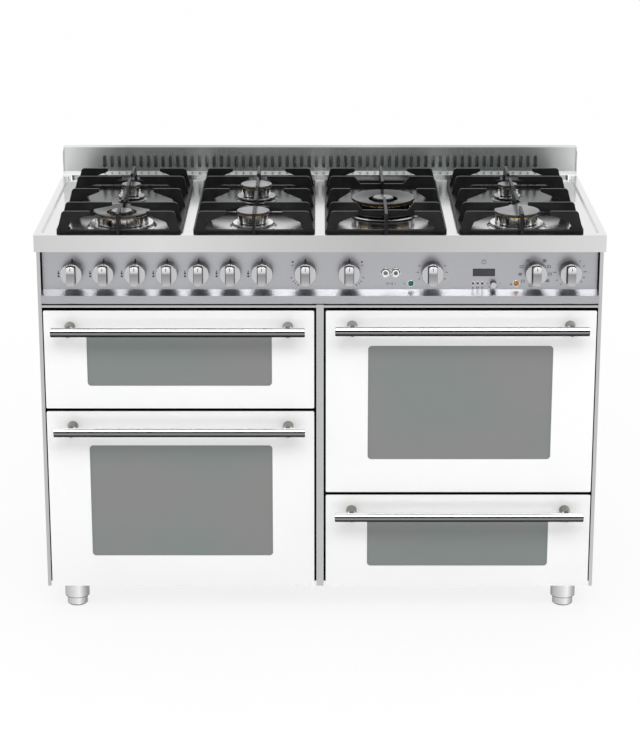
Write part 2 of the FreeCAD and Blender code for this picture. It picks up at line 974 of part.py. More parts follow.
def make_base_tray():
    return block("base_tray", -side_inner, side_inner, frame_front, cabinet_back - size.sheet,
                 floor_of_cabinet, tray_top)


def make_control_panel():
    """Folded fascia: an upright face, a narrow ledge and a lip in front of it."""
    body = new_body("control_panel")
    lip = hob_front + size.panel_lip_setback
    lip_top = size.panel_bottom + size.panel_lip_height
    fold = lip_top + size.panel_ledge_rise
    bevel = size.panel_lip_bevel
    section = side_sketch(body, -size.panel_width / 2)
    outline(section, [
        (panel_face, deck_underside),
        (panel_face, fold),
        (lip, lip_top),
        (lip, size.panel_bottom + bevel),
        (lip + bevel, size.panel_bottom),
        (frame_back, size.panel_bottom),
        (frame_back, size.panel_bottom + size.sheet),
        (lip + bevel, size.panel_bottom + size.sheet),
        (lip + size.sheet, size.panel_bottom + bevel),
        (lip + size.sheet, lip_top - size.sheet),
        (panel_back, fold - size.sheet),
        (panel_back, deck_underside),
    ])
    pad(body, section, size.panel_width)
    holes = front_sketch(body, panel_face)
    for x in KNOBS.values():
        circle(holes, x, size.knob_centre_height, size.spindle_radius + size.spindle_hole_gap)
    for x in BUTTONS.values():
        circle(holes, x, size.display_height, size.button_radius + size.button_gap)
    circle(holes, size.timer_knob_place, size.small_row_height,
           size.timer_spindle_radius + size.spindle_hole_gap)
    for x in (size.power_lamp_place, size.heat_lamp_place):
        circle(holes, x, size.small_row_height, size.lamp_radius + size.lens_gap)
    for x in led_places():
        circle(holes, x, size.small_row_height, size.led_radius + size.lens_gap)
    half = size.display_width / 2 + size.lens_gap
    tall = size.display_tall / 2 + size.lens_gap
    rectangle(holes, size.display_place - half, size.display_place + half,
              size.display_height - tall, size.display_height + tall)
    pocket(body, holes, size.sheet)
    return body


KNOBS = {f"knob_{name}_burner": index * size.gas_knob_pitch - size.gas_knob_first
         for index, name in enumerate(BURNERS)}
GAS_KNOBS = list(KNOBS)
KNOBS["knob_grill_oven"] = -size.grill_knob_place
KNOBS["knob_left_oven"] = size.left_oven_knob_place
KNOBS["knob_right_thermostat"] = size.fan_thermostat_knob_place
KNOBS["knob_right_selector"] = size.fan_selector_knob_place
KNOBS["knob_oven_light"] = size.light_selector_knob_place
BUTTONS = {"ignition_button": size.ignition_button_place, "light_button": size.light_button_place}


def led_places():
    return [size.led_first_place + index * size.led_pitch for index in range(3)]


def make_knob(label, x):
    """Round knob with a raised grip bar and its spindle; drawn along +Z, then faced to the front."""
    body = new_body(label)
    revolve(body, [
        (0, -size.spindle_length),
        (size.spindle_radius, -size.spindle_length),
        (size.spindle_radius, 0),
        (size.knob_radius, 0),
        (size.knob_front_radius, size.knob_length),
        (0, size.knob_length),
    ])
    half = size.knob_grip_width / 2
    reach = size.knob_grip_length / 2
    grip = level_sketch(body, size.knob_length)
    rounded_rectangle(grip, -half, half, -reach, reach, size.knob_grip_corner)
    pad(body, grip, size.knob_grip_height)
    grip_face = size.knob_length + size.knob_grip_height
    round_edges(body, size.knob_edge_radius, lambda edge: lies_level(edge, grip_face)
                or is_rim(edge, size.knob_length, size.knob_front_radius))
    mark_end = reach - size.knob_mark_margin
    mark = level_sketch(body, grip_face)
    rectangle(mark, -size.knob_mark_width / 2, size.knob_mark_width / 2,
              mark_end - size.knob_mark_length, mark_end)
    pocket(body, mark, size.knob_mark_depth)
    face_front(body)
    place(body, x, panel_face - size.knob_gap, size.knob_centre_height)
    return body


def lies_level(edge, height):
    """True for an edge that lies flat at the given height."""
    box = edge.BoundBox
    return abs(box.ZMin - height.value) < 1e-6 and abs(box.ZMax - height.value) < 1e-6


def is_rim(edge, height, radius):
    """True for an edge on a circle of the given radius at the given height."""
    if not lies_level(edge, height) or edge.Curve.TypeId != "Part::GeomCircle":
        return False
    return abs(edge.Curve.Radius - radius.value) < 1e-6


def make_timer_knob():
    body = new_body("timer_knob")
    revolve(body, [
        (0, -size.timer_spindle_length),
        (size.timer_spindle_radius, -size.timer_spindle_length),
        (size.timer_spindle_radius, 0),
        (size.timer_knob_radius, 0),
        (size.timer_knob_radius - size.knob_edge_radius, size.timer_knob_length),
        (0, size.timer_knob_length),
    ])
    face_front(body)
    place(body, size.timer_knob_place, panel_face - size.knob_gap, size.small_row_height)
    return body


def make_button(label, x):
    """Push button with a shallow ring turned in its face."""
    body = new_body(label)
    radius = size.button_radius
    revolve(body, [
        (0, 0),
        (radius, 0),
        (radius, size.button_length - size.knob_edge_radius),
        (radius - size.knob_edge_radius, size.button_length),
        (size.button_ring_outer, size.button_length),
        (size.button_ring_inner, size.button_length - size.button_ring_depth),
        (0, size.button_length - size.button_ring_depth),
    ])
    face_front(body)
    place(body, x, panel_face - size.button_proud + size.button_length, size.display_height)
    return body


tap_front = panel_back
rail_front_y = tap_front + size.gas_rail_setback
rail_back_y = rail_front_y + size.gas_rail_side
rail_top_z = size.knob_centre_height - size.gas_tap_drop
rail_low_z = rail_top_z - size.gas_rail_side
rail_middle = rail_top_z - size.gas_rail_side / 2


def make_gas_tap(label, x):
    """Valve body behind the panel: a bored barrel on a saddle that sits on the gas rail."""
    body = new_body(label)
    bore = size.spindle_radius + size.running_gap
    revolve(body, [
        (bore, 0),
        (size.gas_tap_radius, 0),
        (size.gas_tap_radius, -size.gas_tap_length),
        (0, -size.gas_tap_length),
        (0, -size.spindle_length),
        (bore, -size.spindle_length),
    ])
    half = size.gas_saddle_width / 2
    saddle = level_sketch(body, -size.gas_rail_setback - size.gas_rail_side)
    rectangle(saddle, -half, half, -size.gas_tap_drop, -size.spindle_radius - size.gas_rail_wall)
    pad(body, saddle, size.gas_rail_side)
    face_front(body)
    place(body, x, tap_front, size.knob_centre_height)
    return body


def make_gas_taps():
    return group("gas_taps", [make_gas_tap(f"tap_{name}", KNOBS[name]) for name in GAS_KNOBS])


def make_feed_pipe(name):
    """Pipe from a tap's rear end up to its level and on to the middle of its burner's cup."""
    x, row, _, _ = BURNERS[name]
    knob = KNOBS[f"knob_{name}_burner"]
    tap_end = tap_front + size.gas_tap_length
    level = size.gas_pipe_low + size.gas_pipe_step
    rise = tap_end + size.gas_pipe_setback
    if name in LOWER_PIPES:
        level = size.gas_pipe_low
        rise = tap_end + size.gas_pipe_long_setback
    if name in UPPER_PIPES:
        level = size.gas_pipe_low + 2 * size.gas_pipe_step
    cup_bottom = dish_top - size.cup_depth
    points = [
        spatial_point(knob, tap_end, size.knob_centre_height),
        spatial_point(knob, rise, size.knob_centre_height),
        spatial_point(knob, rise, level),
        spatial_point(x, hob_front + row, level),
        spatial_point(x, hob_front + row, cup_bottom),
    ]
    return bent_rod(f"feed_pipe_{name}", points, size.gas_pipe_radius.value, size.gas_pipe_bend.value)


def make_gas_pipework():
    """Square gas rail under the taps, its inlet pipe to the back and a feed pipe to each burner."""
    first = KNOBS[GAS_KNOBS[0]] - size.gas_rail_end
    last = KNOBS[GAS_KNOBS[-1]] + size.gas_rail_end
    wall = size.gas_rail_wall
    outer = block("rail_outside", first, last, rail_front_y, rail_back_y, rail_low_z, rail_top_z)
    inner = block("rail_inside", first + wall, last - wall, rail_front_y + wall, rail_back_y - wall,
                  rail_low_z + wall, rail_top_z - wall)
    rail = cut("gas_rail", outer, inner)
    pipe = new_body("inlet_pipe")
    ring = front_sketch(pipe, rail_back_y)
    circle(ring, -size.gas_inlet_place, rail_middle, size.gas_inlet_radius)
    circle(ring, -size.gas_inlet_place, rail_middle, size.gas_inlet_bore)
    pad(pipe, ring, hob_back - rail_back_y, backwards=True)
    thread = front_sketch(pipe, hob_back - size.gas_thread_length)
    circle(thread, -size.gas_inlet_place, rail_middle, size.gas_thread_radius)
    circle(thread, -size.gas_inlet_place, rail_middle, size.gas_inlet_bore)
    pad(pipe, thread, size.gas_thread_length, backwards=True)
    return group("gas_pipework", [rail, pipe] + [make_feed_pipe(name) for name in BURNERS])


def make_switch(label, x):
    """Square rotary switch behind the panel with the spindle's bore."""
    body = new_body(label)
    half = size.switch_side / 2
    case = level_sketch(body, -size.switch_length)
    rectangle(case, -half, half, -half, half)
    pad(body, case, size.switch_length)
    bore = level_sketch(body)
    circle(bore, 0, 0, size.spindle_radius + size.running_gap)
    pocket(body, bore, size.spindle_length)
    face_front(body)
    place(body, x, panel_back, size.knob_centre_height)
    return body


def make_button_block():
    """Housing that guides both push buttons."""
    body = new_body("button_block")
    radius = size.button_radius + size.button_gap
    wall = radius + size.switch_wall
    case = front_sketch(body, panel_back)
    rectangle(case, size.ignition_button_place - wall, size.light_button_place + wall,
              size.display_height - wall, size.display_height + wall)
    inside = size.button_length - size.button_proud + size.button_travel
    pad(body, case, inside + size.switch_wall, backwards=True)
    bores = front_sketch(body, panel_back)
    for x in BUTTONS.values():
        circle(bores, x, size.display_height, radius)
    pocket(body, bores, inside)
    return body


def make_clock_module():
    """Clock and timer module that carries the display, the three small lamps and the timer knob."""
    body = new_body("clock_module")
    case = front_sketch(body, panel_back)
    rectangle(case, size.clock_left, size.clock_right, size.clock_low, size.clock_high)
    pad(body, case, size.clock_depth, backwards=True)
    bore = front_sketch(body, panel_back)
    circle(bore, size.timer_knob_place, size.small_row_height,
           size.timer_spindle_radius + size.running_gap)
    pocket(body, bore, size.timer_spindle_length)
    return body


def make_oven_controls():
    switches = [make_switch(f"switch_{name}", x) for name, x in KNOBS.items() if name not in GAS_KNOBS]
    return group("oven_controls", switches + [make_button_block(), make_clock_module()])


def make_lamp(label, x):
    """Domed lens that goes through the panel, with a flange behind it."""
    body = new_body(label)
    radius = size.lamp_radius
    front = size.sheet + size.lamp_proud
    revolve(body, [
        (0, -size.lamp_flange),
        (radius + size.lamp_flange, -size.lamp_flange),
        (radius + size.lamp_flange, 0),
        (radius, 0),
        (radius, front - size.lamp_proud / 2),
        (radius / 2, front),
        (0, front),
    ])
    face_front(body)
    place(body, x, panel_back, size.small_row_height)
    return body


def make_indicator_lights():
    lamps = [make_lamp("power_lamp", size.power_lamp_place), make_lamp("heat_lamp", size.heat_lamp_place)]
    for index, x in enumerate(led_places(), start=1):
        led = new_body(f"small_lamp_{index}")
        disc = front_sketch(led, panel_face)
        circle(disc, x, size.small_row_height, size.led_radius)
        pad(led, disc, size.sheet, backwards=True)
        lamps.append(led)
    half = size.display_width / 2
    tall = size.display_tall / 2
    display = block("display", size.display_place - half, size.display_place + half,
                    panel_face + size.display_recess, panel_back,
                    size.display_height - tall, size.display_height + tall)
    return group("indicator_lights", lamps + [display])


def make_levelling_feet():
    """Four feet: a collar under the base tray and a screwed foot with its stem in the collar."""
    collar_low = size.feet_height - size.foot_collar_height
    bore = size.foot_stem_radius + size.foot_stem_gap
    pieces = []
    for end, y in (("front", size.foot_front), ("rear", size.foot_rear)):
        for side_name, side in (("left", -1), ("right", 1)):
            collar = new_body(f"collar_{end}_{side_name}")
            revolve(collar, [
                (bore, collar_low),
                (size.foot_collar_radius, collar_low),
                (size.foot_collar_radius, size.feet_height),
                (0, size.feet_height),
                (0, size.feet_height - size.foot_cover),
                (bore, size.feet_height - size.foot_cover),
            ])
            foot = new_body(f"foot_{end}_{side_name}")
            revolve(foot, [
                (0, 0),
                (size.foot_radius - size.foot_chamfer, 0),
                (size.foot_radius, size.foot_chamfer),
                (size.foot_radius, collar_low),
                (size.foot_stem_radius, collar_low),
                (size.foot_stem_radius, size.feet_height - 2 * size.foot_cover),
                (0, size.feet_height - 2 * size.foot_cover),
            ])
            for piece in (collar, foot):
                place(piece, side * size.foot_place, hob_front + y, 0)
                pieces.append(piece)
    return group("levelling_feet", pieces)


def make_door_panel(label, door, hinged):
    """White front of a door: a folded tray with the window cut out, slotted below for the hinges."""
    body = new_body(label)
    height = door["height"]
    front = front_sketch(body)
    rounded_rectangle(front, -door_half, door_half, 0, height, size.door_corner_radius)
    pad(body, front, size.door_fold, backwards=True)
    skin = size.door_skin
    inside = front_sketch(body, skin)
    rectangle(inside, skin - door_half, door_half - skin, skin, height - skin)
    pocket(body, inside, size.door_fold - skin)
    window = front_sketch(body)
    half = size.window_width / 2
    rounded_rectangle(window, -half, half, door["window_rise"], door["window_rise"] + door["window_height"],
                      size.window_radius)
    pocket(body, window, skin)
    if hinged:
        add_hinge_slots(body, skin)
    return set_on_door(body, door)


def add_hinge_slots(body, front):
    """Opens the bottom of a door piece, behind the given depth, round both hinge arms."""
    half = size.hinge_arm_width / 2 + size.hinge_slot_gap
    top = size.hinge_rise + size.hinge_arm_height / 2 + size.hinge_slot_gap
    slots = front_sketch(body, front)
    for side in (-1, 1):
        middle = side * hinge_place
        rectangle(slots, middle - half, middle + half, 0, top)
    pocket(body, slots, size.door_fold + size.liner_sheet - front)


def window_pane(label, door, near):
    """Flat pane behind the window, its near face at the given depth."""
    half = size.window_width / 2 + size.pane_margin
    low = door["base"] + door["window_rise"] - size.pane_margin
    high = door["base"] + door["window_rise"] + door["window_height"] + size.pane_margin
    return block(label, door["x"] - half, door["x"] + half, door_plane + near,
                 door_plane + near + size.pane_thickness, low, high)


def make_door_panes(name, door):
    outer = window_pane(f"{name}_outer_pane", door, size.door_skin)
    inner = window_pane(f"{name}_inner_pane", door, size.door_fold - size.pane_thickness)
    return group(f"{name}_door_panes", [outer, inner])


def make_door_liner(name, door):
    """Inner sheet of a door with its window and, at each end, the two ears and pin of a hinge."""
    body = new_body(f"{name}_door_liner")
    plate = front_sketch(body, size.door_fold)
    rectangle(plate, -door_half, door_half, 0, door["height"])
    half = size.window_width / 2
    rounded_rectangle(plate, -half, half, door["window_rise"], door["window_rise"] + door["window_height"],
                      size.window_radius)
    pad(body, plate, size.liner_sheet, backwards=True)
    add_hinge_slots(body, size.door_fold)
    nose = size.hinge_inset - size.hinge_arm_lead
    ear_low = size.door_skin + size.hinge_side_gap
    ear_high = size.hinge_rise + size.hinge_arm_height / 2 + size.hinge_slot_gap
    inner_face = size.hinge_arm_width / 2 + size.hinge_side_gap + size.hinge_slot_gap
    features = []
    for start in (-inner_face - size.hinge_ear, inner_face):
        ear = side_sketch(body, hinge_place + start)
        rectangle(ear, nose, size.door_fold, ear_low, ear_high)
        features.append(pad(body, ear, size.hinge_ear))
    pin = side_sketch(body, hinge_place)
    circle(pin, size.hinge_inset, size.hinge_rise, size.hinge_pin_radius)
    features.append(pad(body, pin, 2 * inner_face + size.hinge_ear, midplane=True))
    mirrored(body, features)
    return set_on_door(body, door)


def make_handle(label, door):
    """Round bar on two round posts that stand on the door's face."""
    body = new_body(label)
    bar = side_sketch(body, -size.handle_length / 2)
    circle(bar, -size.handle_standoff, door["handle_rise"], size.handle_radius)
    pad(body, bar, size.handle_length)
    posts = front_sketch(body, -size.handle_standoff)
    for side in (-1, 1):
        circle(posts, side * size.handle_post_place, door["handle_rise"], size.handle_post_radius)
    pad(body, posts, size.handle_standoff, backwards=True)
    round_edges(body, size.handle_end_radius, lambda edge: abs(
        abs(edge.BoundBox.Center.x) - size.handle_length.value / 2) < 1e-6)
    return set_on_door(body, door)


def make_drawer_tub():
    """Drawer box behind its front, with a rail along each side."""
    body = new_body("drawer_tub")
    back_plate = front_sketch(body, size.door_fold)
    rectangle(back_plate, -door_half, door_half, 0, size.drawer_height)
    pad(body, back_plate, size.liner_sheet, backwards=True)
    start = size.door_fold + size.liner_sheet
    half = size.tub_width / 2
    high = size.tub_rise + size.tub_height
    box = front_sketch(body, start)
    rectangle(box, -half, half, size.tub_rise, high)
    pad(body, box, size.tub_depth, backwards=True)
    wall = size.tub_sheet
    inside = level_sketch(body, high)
    rectangle(inside, wall - half, half - wall, start, start + size.tub_depth - wall)
    pocket(body, inside, size.tub_height - wall)
    middle = size.tub_rise + size.tub_height / 2
    rails = front_sketch(body, start)
    for side in (-1, 1):
        inner, outer = side * half, side * (half + size.tub_rail_width)
        rectangle(rails, inner, outer, middle - size.tub_rail_height / 2, middle + size.tub_rail_height / 2)
    pad(body, rails, size.tub_depth, backwards=True)
    return set_on_door(body, DRAWER)


def make_drawer_runners():
    """Two channels, open towards the tub, from the face plate to the back panel."""
    middle = DRAWER["base"] + size.tub_rise + size.tub_height / 2
    slot = size.tub_rail_height / 2 + size.runner_gap
    edge = size.runner_height / 2
    near = size.tub_width / 2 + size.hinge_side_gap
    far = near + size.runner_width
    floor = size.tub_width / 2 + size.tub_rail_width + size.runner_gap
    runners = []
    for name, side in (("left", -1), ("right", 1)):
        body = new_body(f"runner_{name}")
        section = front_sketch(body, frame_back)
        outline(section, [
            (DRAWER["x"] + side * near, middle - edge),
            (DRAWER["x"] + side * far, middle - edge),
            (DRAWER["x"] + side * far, middle + edge),
            (DRAWER["x"] + side * near, middle + edge),
            (DRAWER["x"] + side * near, middle + slot),
            (DRAWER["x"] + side * floor, middle + slot),
            (DRAWER["x"] + side * floor, middle - slot),
            (DRAWER["x"] + side * near, middle - slot),
        ])
        pad(body, section, back_panel_front - frame_back, backwards=True)
        runners.append(body)
    return group("drawer_runners", runners)


def make_cavity(name, door):
    """Enamelled oven box, open to the front, with pressed shelf ribs and a flange on the face plate."""
    body = new_body(f"{name}_oven_cavity")
    sheet_size = size.sheet
    height = door["cavity_height"]
    corner = size.cavity_corner
    outer = front_sketch(body)
    rounded_rectangle(outer, -cavity_half - sheet_size, cavity_half + sheet_size, -sheet_size,
                      height + sheet_size, corner + sheet_size)
    pad(body, outer, size.cavity_depth + sheet_size, backwards=True)
    flange = front_sketch(body)
    reach = size.cavity_flange
    rectangle(flange, -cavity_half - reach, cavity_half + reach, -reach, height + reach)
    pad(body, flange, sheet_size, backwards=True)
    inner = front_sketch(body)
    rounded_rectangle(inner, -cavity_half, cavity_half, 0, height, corner)
    pocket(body, inner, size.cavity_depth)
    ribs = front_sketch(body, size.rib_setback)
    depth, tall = size.rib_depth, size.rib_height
    for index in range(door["ribs"]):
        low = size.rib_first + index * size.rib_pitch
        for side in (-1, 1):
            outline(ribs, [
                (side * cavity_half, low - tall / 2),
                (side * (cavity_half - depth), low),
                (side * (cavity_half - depth), low + tall),
                (side * cavity_half, low + tall),
            ])
    pad(body, ribs, size.cavity_depth - size.rib_setback, backwards=True)
    if name == "right":
        shaft = front_sketch(body, size.cavity_depth)
        circle(shaft, 0, height / 2, size.fan_shaft_hole)
        pocket(body, shaft, sheet_size)
    place(body, door["x"], frame_back, door["base"] + door["cavity_rise"])
    return body


def make_insulation():
    """Mineral wool wrap round each oven box, open to the front."""
    wraps = []
    for name, door in DOORS.items():
        body = new_body(f"insulation_{name}")
        inner = cavity_half + size.sheet
        height = door["cavity_height"]
        outer = front_sketch(body, size.sheet)
        rectangle(outer, -inner - size.insulation, inner + size.insulation, -size.sheet - size.insulation,
                  height + size.sheet + size.insulation)
        pad(body, outer, size.cavity_depth + size.insulation, backwards=True)
        space = front_sketch(body, size.sheet)
        rectangle(space, -inner, inner, -size.sheet, height + size.sheet)
        pocket(body, space, size.cavity_depth)
        if name == "right":
            motor_hole = front_sketch(body, size.cavity_depth)
            circle(motor_hole, 0, height / 2, size.fan_motor_radius + size.spindle_hole_gap)
            pocket(body, motor_hole, size.insulation + 2 * size.sheet)
        place(body, door["x"], frame_back, door["base"] + door["cavity_rise"])
        wraps.append(body)
    return group("oven_insulation", wraps)


def make_door_seals():
    """Rubber ring round each oven opening, on the face plate."""
    seals = []
    for name, door in DOORS.items():
        body = new_body(f"seal_{name}")
        low = door["base"] + door["cavity_rise"]
        high = low + door["cavity_height"]
        ring = front_sketch(body, liner_back + size.seal_gap)
        for reach in (size.seal_margin, size.seal_margin + size.seal_width):
            rounded_rectangle(ring, door["x"] - cavity_half - reach, door["x"] + cavity_half + reach,
                              low - reach, high + reach, size.cavity_corner + reach)
        pad(body, ring, size.frame_gap - size.seal_gap, backwards=True)
        seals.append(body)
    return group("door_seals", seals)


def make_shelves():
    """Wire shelf on a pair of ribs in each oven: a flat frame with long slots."""
    shelves = []
    for name, door in DOORS.items():
        level = size.rib_first + size.rib_height
        if door["ribs"] > 1:
            level = level + size.rib_pitch
        body = new_body(f"shelf_{name}")
        half = cavity_half - size.shelf_side_gap
        plate = level_sketch(body, level)
        rectangle(plate, -half, half, size.rib_setback, size.rib_setback + size.shelf_depth)
        pad(body, plate, size.shelf_thickness)
        gaps = size.shelf_wires
        wire = size.shelf_wire
        gap = (2 * half - 2 * size.shelf_bar - (gaps - 1) * wire) / gaps
        slot = level_sketch(body, level + size.shelf_thickness)
        left = size.shelf_bar - half
        rectangle(slot, left, left + gap, size.rib_setback + size.shelf_bar,
                  size.rib_setback + size.shelf_depth - size.shelf_bar)
        row_of(body, pocket(body, slot, size.shelf_thickness), gaps, gap + wire)
        place(body, door["x"], frame_back, door["base"] + door["cavity_rise"])
        shelves.append(body)
    return group("oven_shelves", shelves)


def make_serpentine(label, door, height):
    """Grill element: one rod in three loops, both ends in the back wall."""
    back = frame_back + size.cavity_depth
    front = frame_back + size.element_margin
    far = back - size.element_margin
    middle = back - 2 * size.element_margin
    lanes = [size.element_lane * step for step in (-3, -1, 1, 3)]
    outer, inner = lanes[0], lanes[1]
    end = inner / 3
    level = door["base"] + door["cavity_rise"] + height
    path = [(end * 2, back), (end * 2, far), (outer, far), (outer, front), (inner, front), (inner, middle),
            (-inner, middle), (-inner, front), (-outer, front), (-outer, far), (-end * 2, far),
            (-end * 2, back)]
    points = [spatial_point(door["x"] + x, y, level) for x, y in path]
    return bent_rod(label, points, size.element_radius.value, size.element_bend.value)


def make_ring_element():
    """Ring element round the fan, held by two rods in the back wall."""
    door = DOORS["right"]
    wall = frame_back + size.cavity_depth
    middle = door["base"] + door["cavity_rise"] + door["cavity_height"] / 2
    ring_y = wall - size.fan_back_gap - size.fan_depth / 2
    ring = doc.addObject("Part::Torus", "fan_ring")
    bind(ring, "Radius1", size.ring_element_radius)
    bind(ring, "Radius2", size.element_radius)
    face_front(ring)
    place(ring, door["x"], ring_y, middle)
    pieces = [ring]
    for side in (-1, 1):
        rod = doc.addObject("Part::Cylinder", "ring_rod")
        bind(rod, "Radius", size.element_radius)
        bind(rod, "Height", wall - ring_y)
        face_front(rod)
        place(rod, door["x"] + side * size.ring_element_radius, wall, middle)
        pieces.append(rod)
    return fuse("ring_element", pieces)


def make_heating_elements():
    grill, left = DOORS["grill"], DOORS["left"]
    return group("heating_elements", [
        make_serpentine("grill_element", grill, grill["cavity_height"] - size.element_drop),
        make_serpentine("top_element", left, left["cavity_height"] - size.element_drop),
        make_serpentine("bottom_element", left, size.element_drop),
        make_ring_element(),
    ])


def fan_centre(y):
    door = DOORS["right"]
    return door["x"], y, door["base"] + door["cavity_rise"] + door["cavity_height"] / 2


def make_oven_fan():
    """Bladed wheel with its shaft through the back wall; drawn along +Z, then faced to the front."""
    body = new_body("oven_fan")
    shaft = size.fan_back_gap + size.sheet + size.fan_shaft_in_motor
    revolve(body, [
        (0, -shaft),
        (size.fan_shaft_radius, -shaft),
        (size.fan_shaft_radius, 0),
        (size.fan_radius, 0),
        (size.fan_radius, size.fan_disc),
        (size.fan_hub_radius, size.fan_disc),
        (size.fan_hub_radius, size.fan_depth),
        (0, size.fan_depth),
    ])
    blade = level_sketch(body, size.fan_disc)
    half = size.fan_blade_thickness / 2
    rectangle(blade, size.fan_radius / 2, size.fan_radius - half, -half, half)
    ring_of(body, pad(body, blade, size.fan_depth - size.fan_disc), size.fan_blades)
    face_front(body)
    place(body, *fan_centre(frame_back + size.cavity_depth - size.fan_back_gap))
    return body


def make_fan_cover_and_motor():
    """Cover over the fan with intake slots, and the motor behind the oven's back wall."""
    cover = new_body("fan_cover")
    half = size.fan_cover_width / 2
    tall = size.fan_cover_height / 2
    depth = size.fan_back_gap + size.fan_depth + size.fan_cover_gap
    face = front_sketch(cover, -depth)
    rounded_rectangle(face, -half, half, -tall, tall, size.cavity_corner)
    pad(cover, face, depth, backwards=True)
    wall = size.sheet
    inside = front_sketch(cover, wall - depth)
    rectangle(inside, wall - half, half - wall, wall - tall, tall - wall)
    pocket(cover, inside, depth)
    first = -(size.intake_count - 1) * size.intake_pitch / 2
    slot = front_sketch(cover, -depth)
    upright_slot(slot, first, -size.intake_height / 2, size.intake_height / 2, size.intake_width)
    row_of(cover, pocket(cover, slot, wall), size.intake_count, size.intake_pitch)
    place(cover, *fan_centre(frame_back + size.cavity_depth))
    motor = new_body("fan_motor")
    bore = size.fan_shaft_radius + size.running_gap
    depth_of_bore = size.fan_shaft_in_motor + size.hinge_side_gap
    revolve(motor, [
        (bore, 0),
        (size.fan_motor_radius, 0),
        (size.fan_motor_radius, -size.fan_motor_length),
        (0, -size.fan_motor_length),
        (0, -depth_of_bore),
        (bore, -depth_of_bore),
    ])
    face_front(motor)
    place(motor, *fan_centre(frame_back + size.cavity_depth + size.sheet))
    return group("fan_cover_and_motor", [cover, motor])


def make_burner_cup(name):
    """Cup in the hob with a polished flange on the dish and the gas jet inside."""
    x, row, radius, _ = BURNERS[name]
    outer = burner_hole_radius(radius) - size.cup_gap
    inner = outer - size.cup_wall
    flange = radius + size.cup_flange_margin
    floor = size.cup_wall - size.cup_depth
    body = new_body(f"cup_{name}")
    revolve(body, [
        (0, -size.cup_depth),
        (outer, -size.cup_depth),
        (outer, 0),
        (flange, 0),
        (flange - size.cup_flange, size.cup_flange),
        (inner, size.cup_flange),
        (inner, floor),
        (size.jet_radius, floor),
        (size.jet_radius, floor + size.jet_height),
        (0, floor + size.jet_height),
    ])
    place(body, x, hob_front + row, dish_top)
    return body


def make_burner_head(name):
    """Burner head: a tube with flame ports under its top edge. A ring burner holds a small
    head in its middle."""
    x, row, radius, ports = BURNERS[name]
    seat = size.cup_flange
    top = burner_top - dish_top - size.burner_cap
    inner = burner_hole_radius(radius) - size.cup_gap - size.cup_wall - size.cup_gap
    outer = radius - size.head_rim
    bore = inner - size.head_wall
    body = new_body(f"head_{name}")
    if name in RING_BURNERS:
        ring_bore = size.ring_inner_radius
        middle = size.centre_cap_radius - size.head_rim
        wall = size.head_wall
        revolve(body, [
            (bore, -size.head_spigot),
            (inner, -size.head_spigot),
            (inner, seat),
            (outer, seat),
            (outer, top),
            (outer - wall, top),
            (outer - wall, seat + wall),
            (ring_bore + wall, seat + wall),
            (ring_bore + wall, top),
            (ring_bore, top),
            (ring_bore, seat + wall),
            (middle, seat + wall),
            (middle, top),
            (middle - wall, top),
            (middle - wall, seat),
            (bore, seat),
        ])
    else:
        revolve(body, [
            (bore, -size.head_spigot),
            (inner, -size.head_spigot),
            (inner, seat),
            (outer, seat),
            (outer, top),
            (bore, top),
        ])
    notch = side_sketch(body, (bore + outer) / 2)
    half = size.port_width / 2
    rectangle(notch, -half, half, top - size.port_height, top)
    ring_of(body, pocket(body, notch, outer - (bore + outer) / 2 + size.cup_gap, forwards=True), ports)
    place(body, x, hob_front + row, dish_top)
    return body


def make_burner_cap(name):
    """Enamelled cap with a bevelled rim. A ring burner has a dished ring and a small centre cap."""
    x, row, radius, _ = BURNERS[name]
    top = burner_top - dish_top
    low = top - size.burner_cap
    rim = size.cap_rim
    caps = []
    body = new_body(f"cap_{name}")
    if name in RING_BURNERS:
        inner = size.ring_inner_radius - size.cup_wall
        revolve(body, [
            (inner, low),
            (radius - rim, low),
            (radius, low + rim),
            (radius, top - rim / 2),
            (radius - rim / 2, top),
            (radius - rim, top),
            (inner, low + size.cup_wall),
        ])
        centre = new_body(f"centre_cap_{name}")
        small = size.centre_cap_radius
        revolve(centre, [
            (0, low),
            (small - rim, low),
            (small, low + rim),
            (small, top - rim),
            (small - rim, top),
            (0, top),
        ])
        caps.append(centre)
    else:
        revolve(body, [
            (0, low),
            (radius - rim, low),
            (radius, low + rim),
            (radius, top - rim),
            (radius - rim, top),
            (0, top),
        ])
    caps.append(body)
    for cap in caps:
        place(cap, x, hob_front + row, dish_top)
    return caps


def make_burners():
    cups = group("burner_cups", [make_burner_cup(name) for name in BURNERS])
    heads = group("burner_heads", [make_burner_head(name) for name in BURNERS])
    caps = group("burner_caps", [cap for name in BURNERS for cap in make_burner_cap(name)])
    return [cups, heads, caps]


SUPPORTS = {
    "pan_support_left": (-size.support_place_outer, size.support_width_outer / 2, False),
    "pan_support_middle_left": (-size.support_place_inner, size.support_width_inner / 2, False),
    "pan_support_wok": (size.support_place_inner, size.support_width_inner / 2, True),
    "pan_support_right": (size.support_place_outer, size.support_width_outer / 2, False),
}
ROW_FRONT = size.support_front + size.support_rod / 2


def finger_sketch(body, row, half, reach):
    """Left finger of a row: a leg that leans in from the frame, and an arm that thins towards its tip."""
    sketch = front_sketch(body, row)
    corner = size.support_corner
    shoulder = half - size.support_lean
    tip = support_top - size.support_tip
    leg = half - size.support_leg
    outline(sketch, [
        (-half, support_rod_bottom),
        (-shoulder, support_top - corner, corner - shoulder, support_top - corner),
        (corner - shoulder, support_top),
        (-reach, support_top),
        (-reach, tip),
        (size.finger_slope_run - leg, tip - size.finger_slope_rise),
        (-leg, support_rod_bottom),
    ])
    return sketch


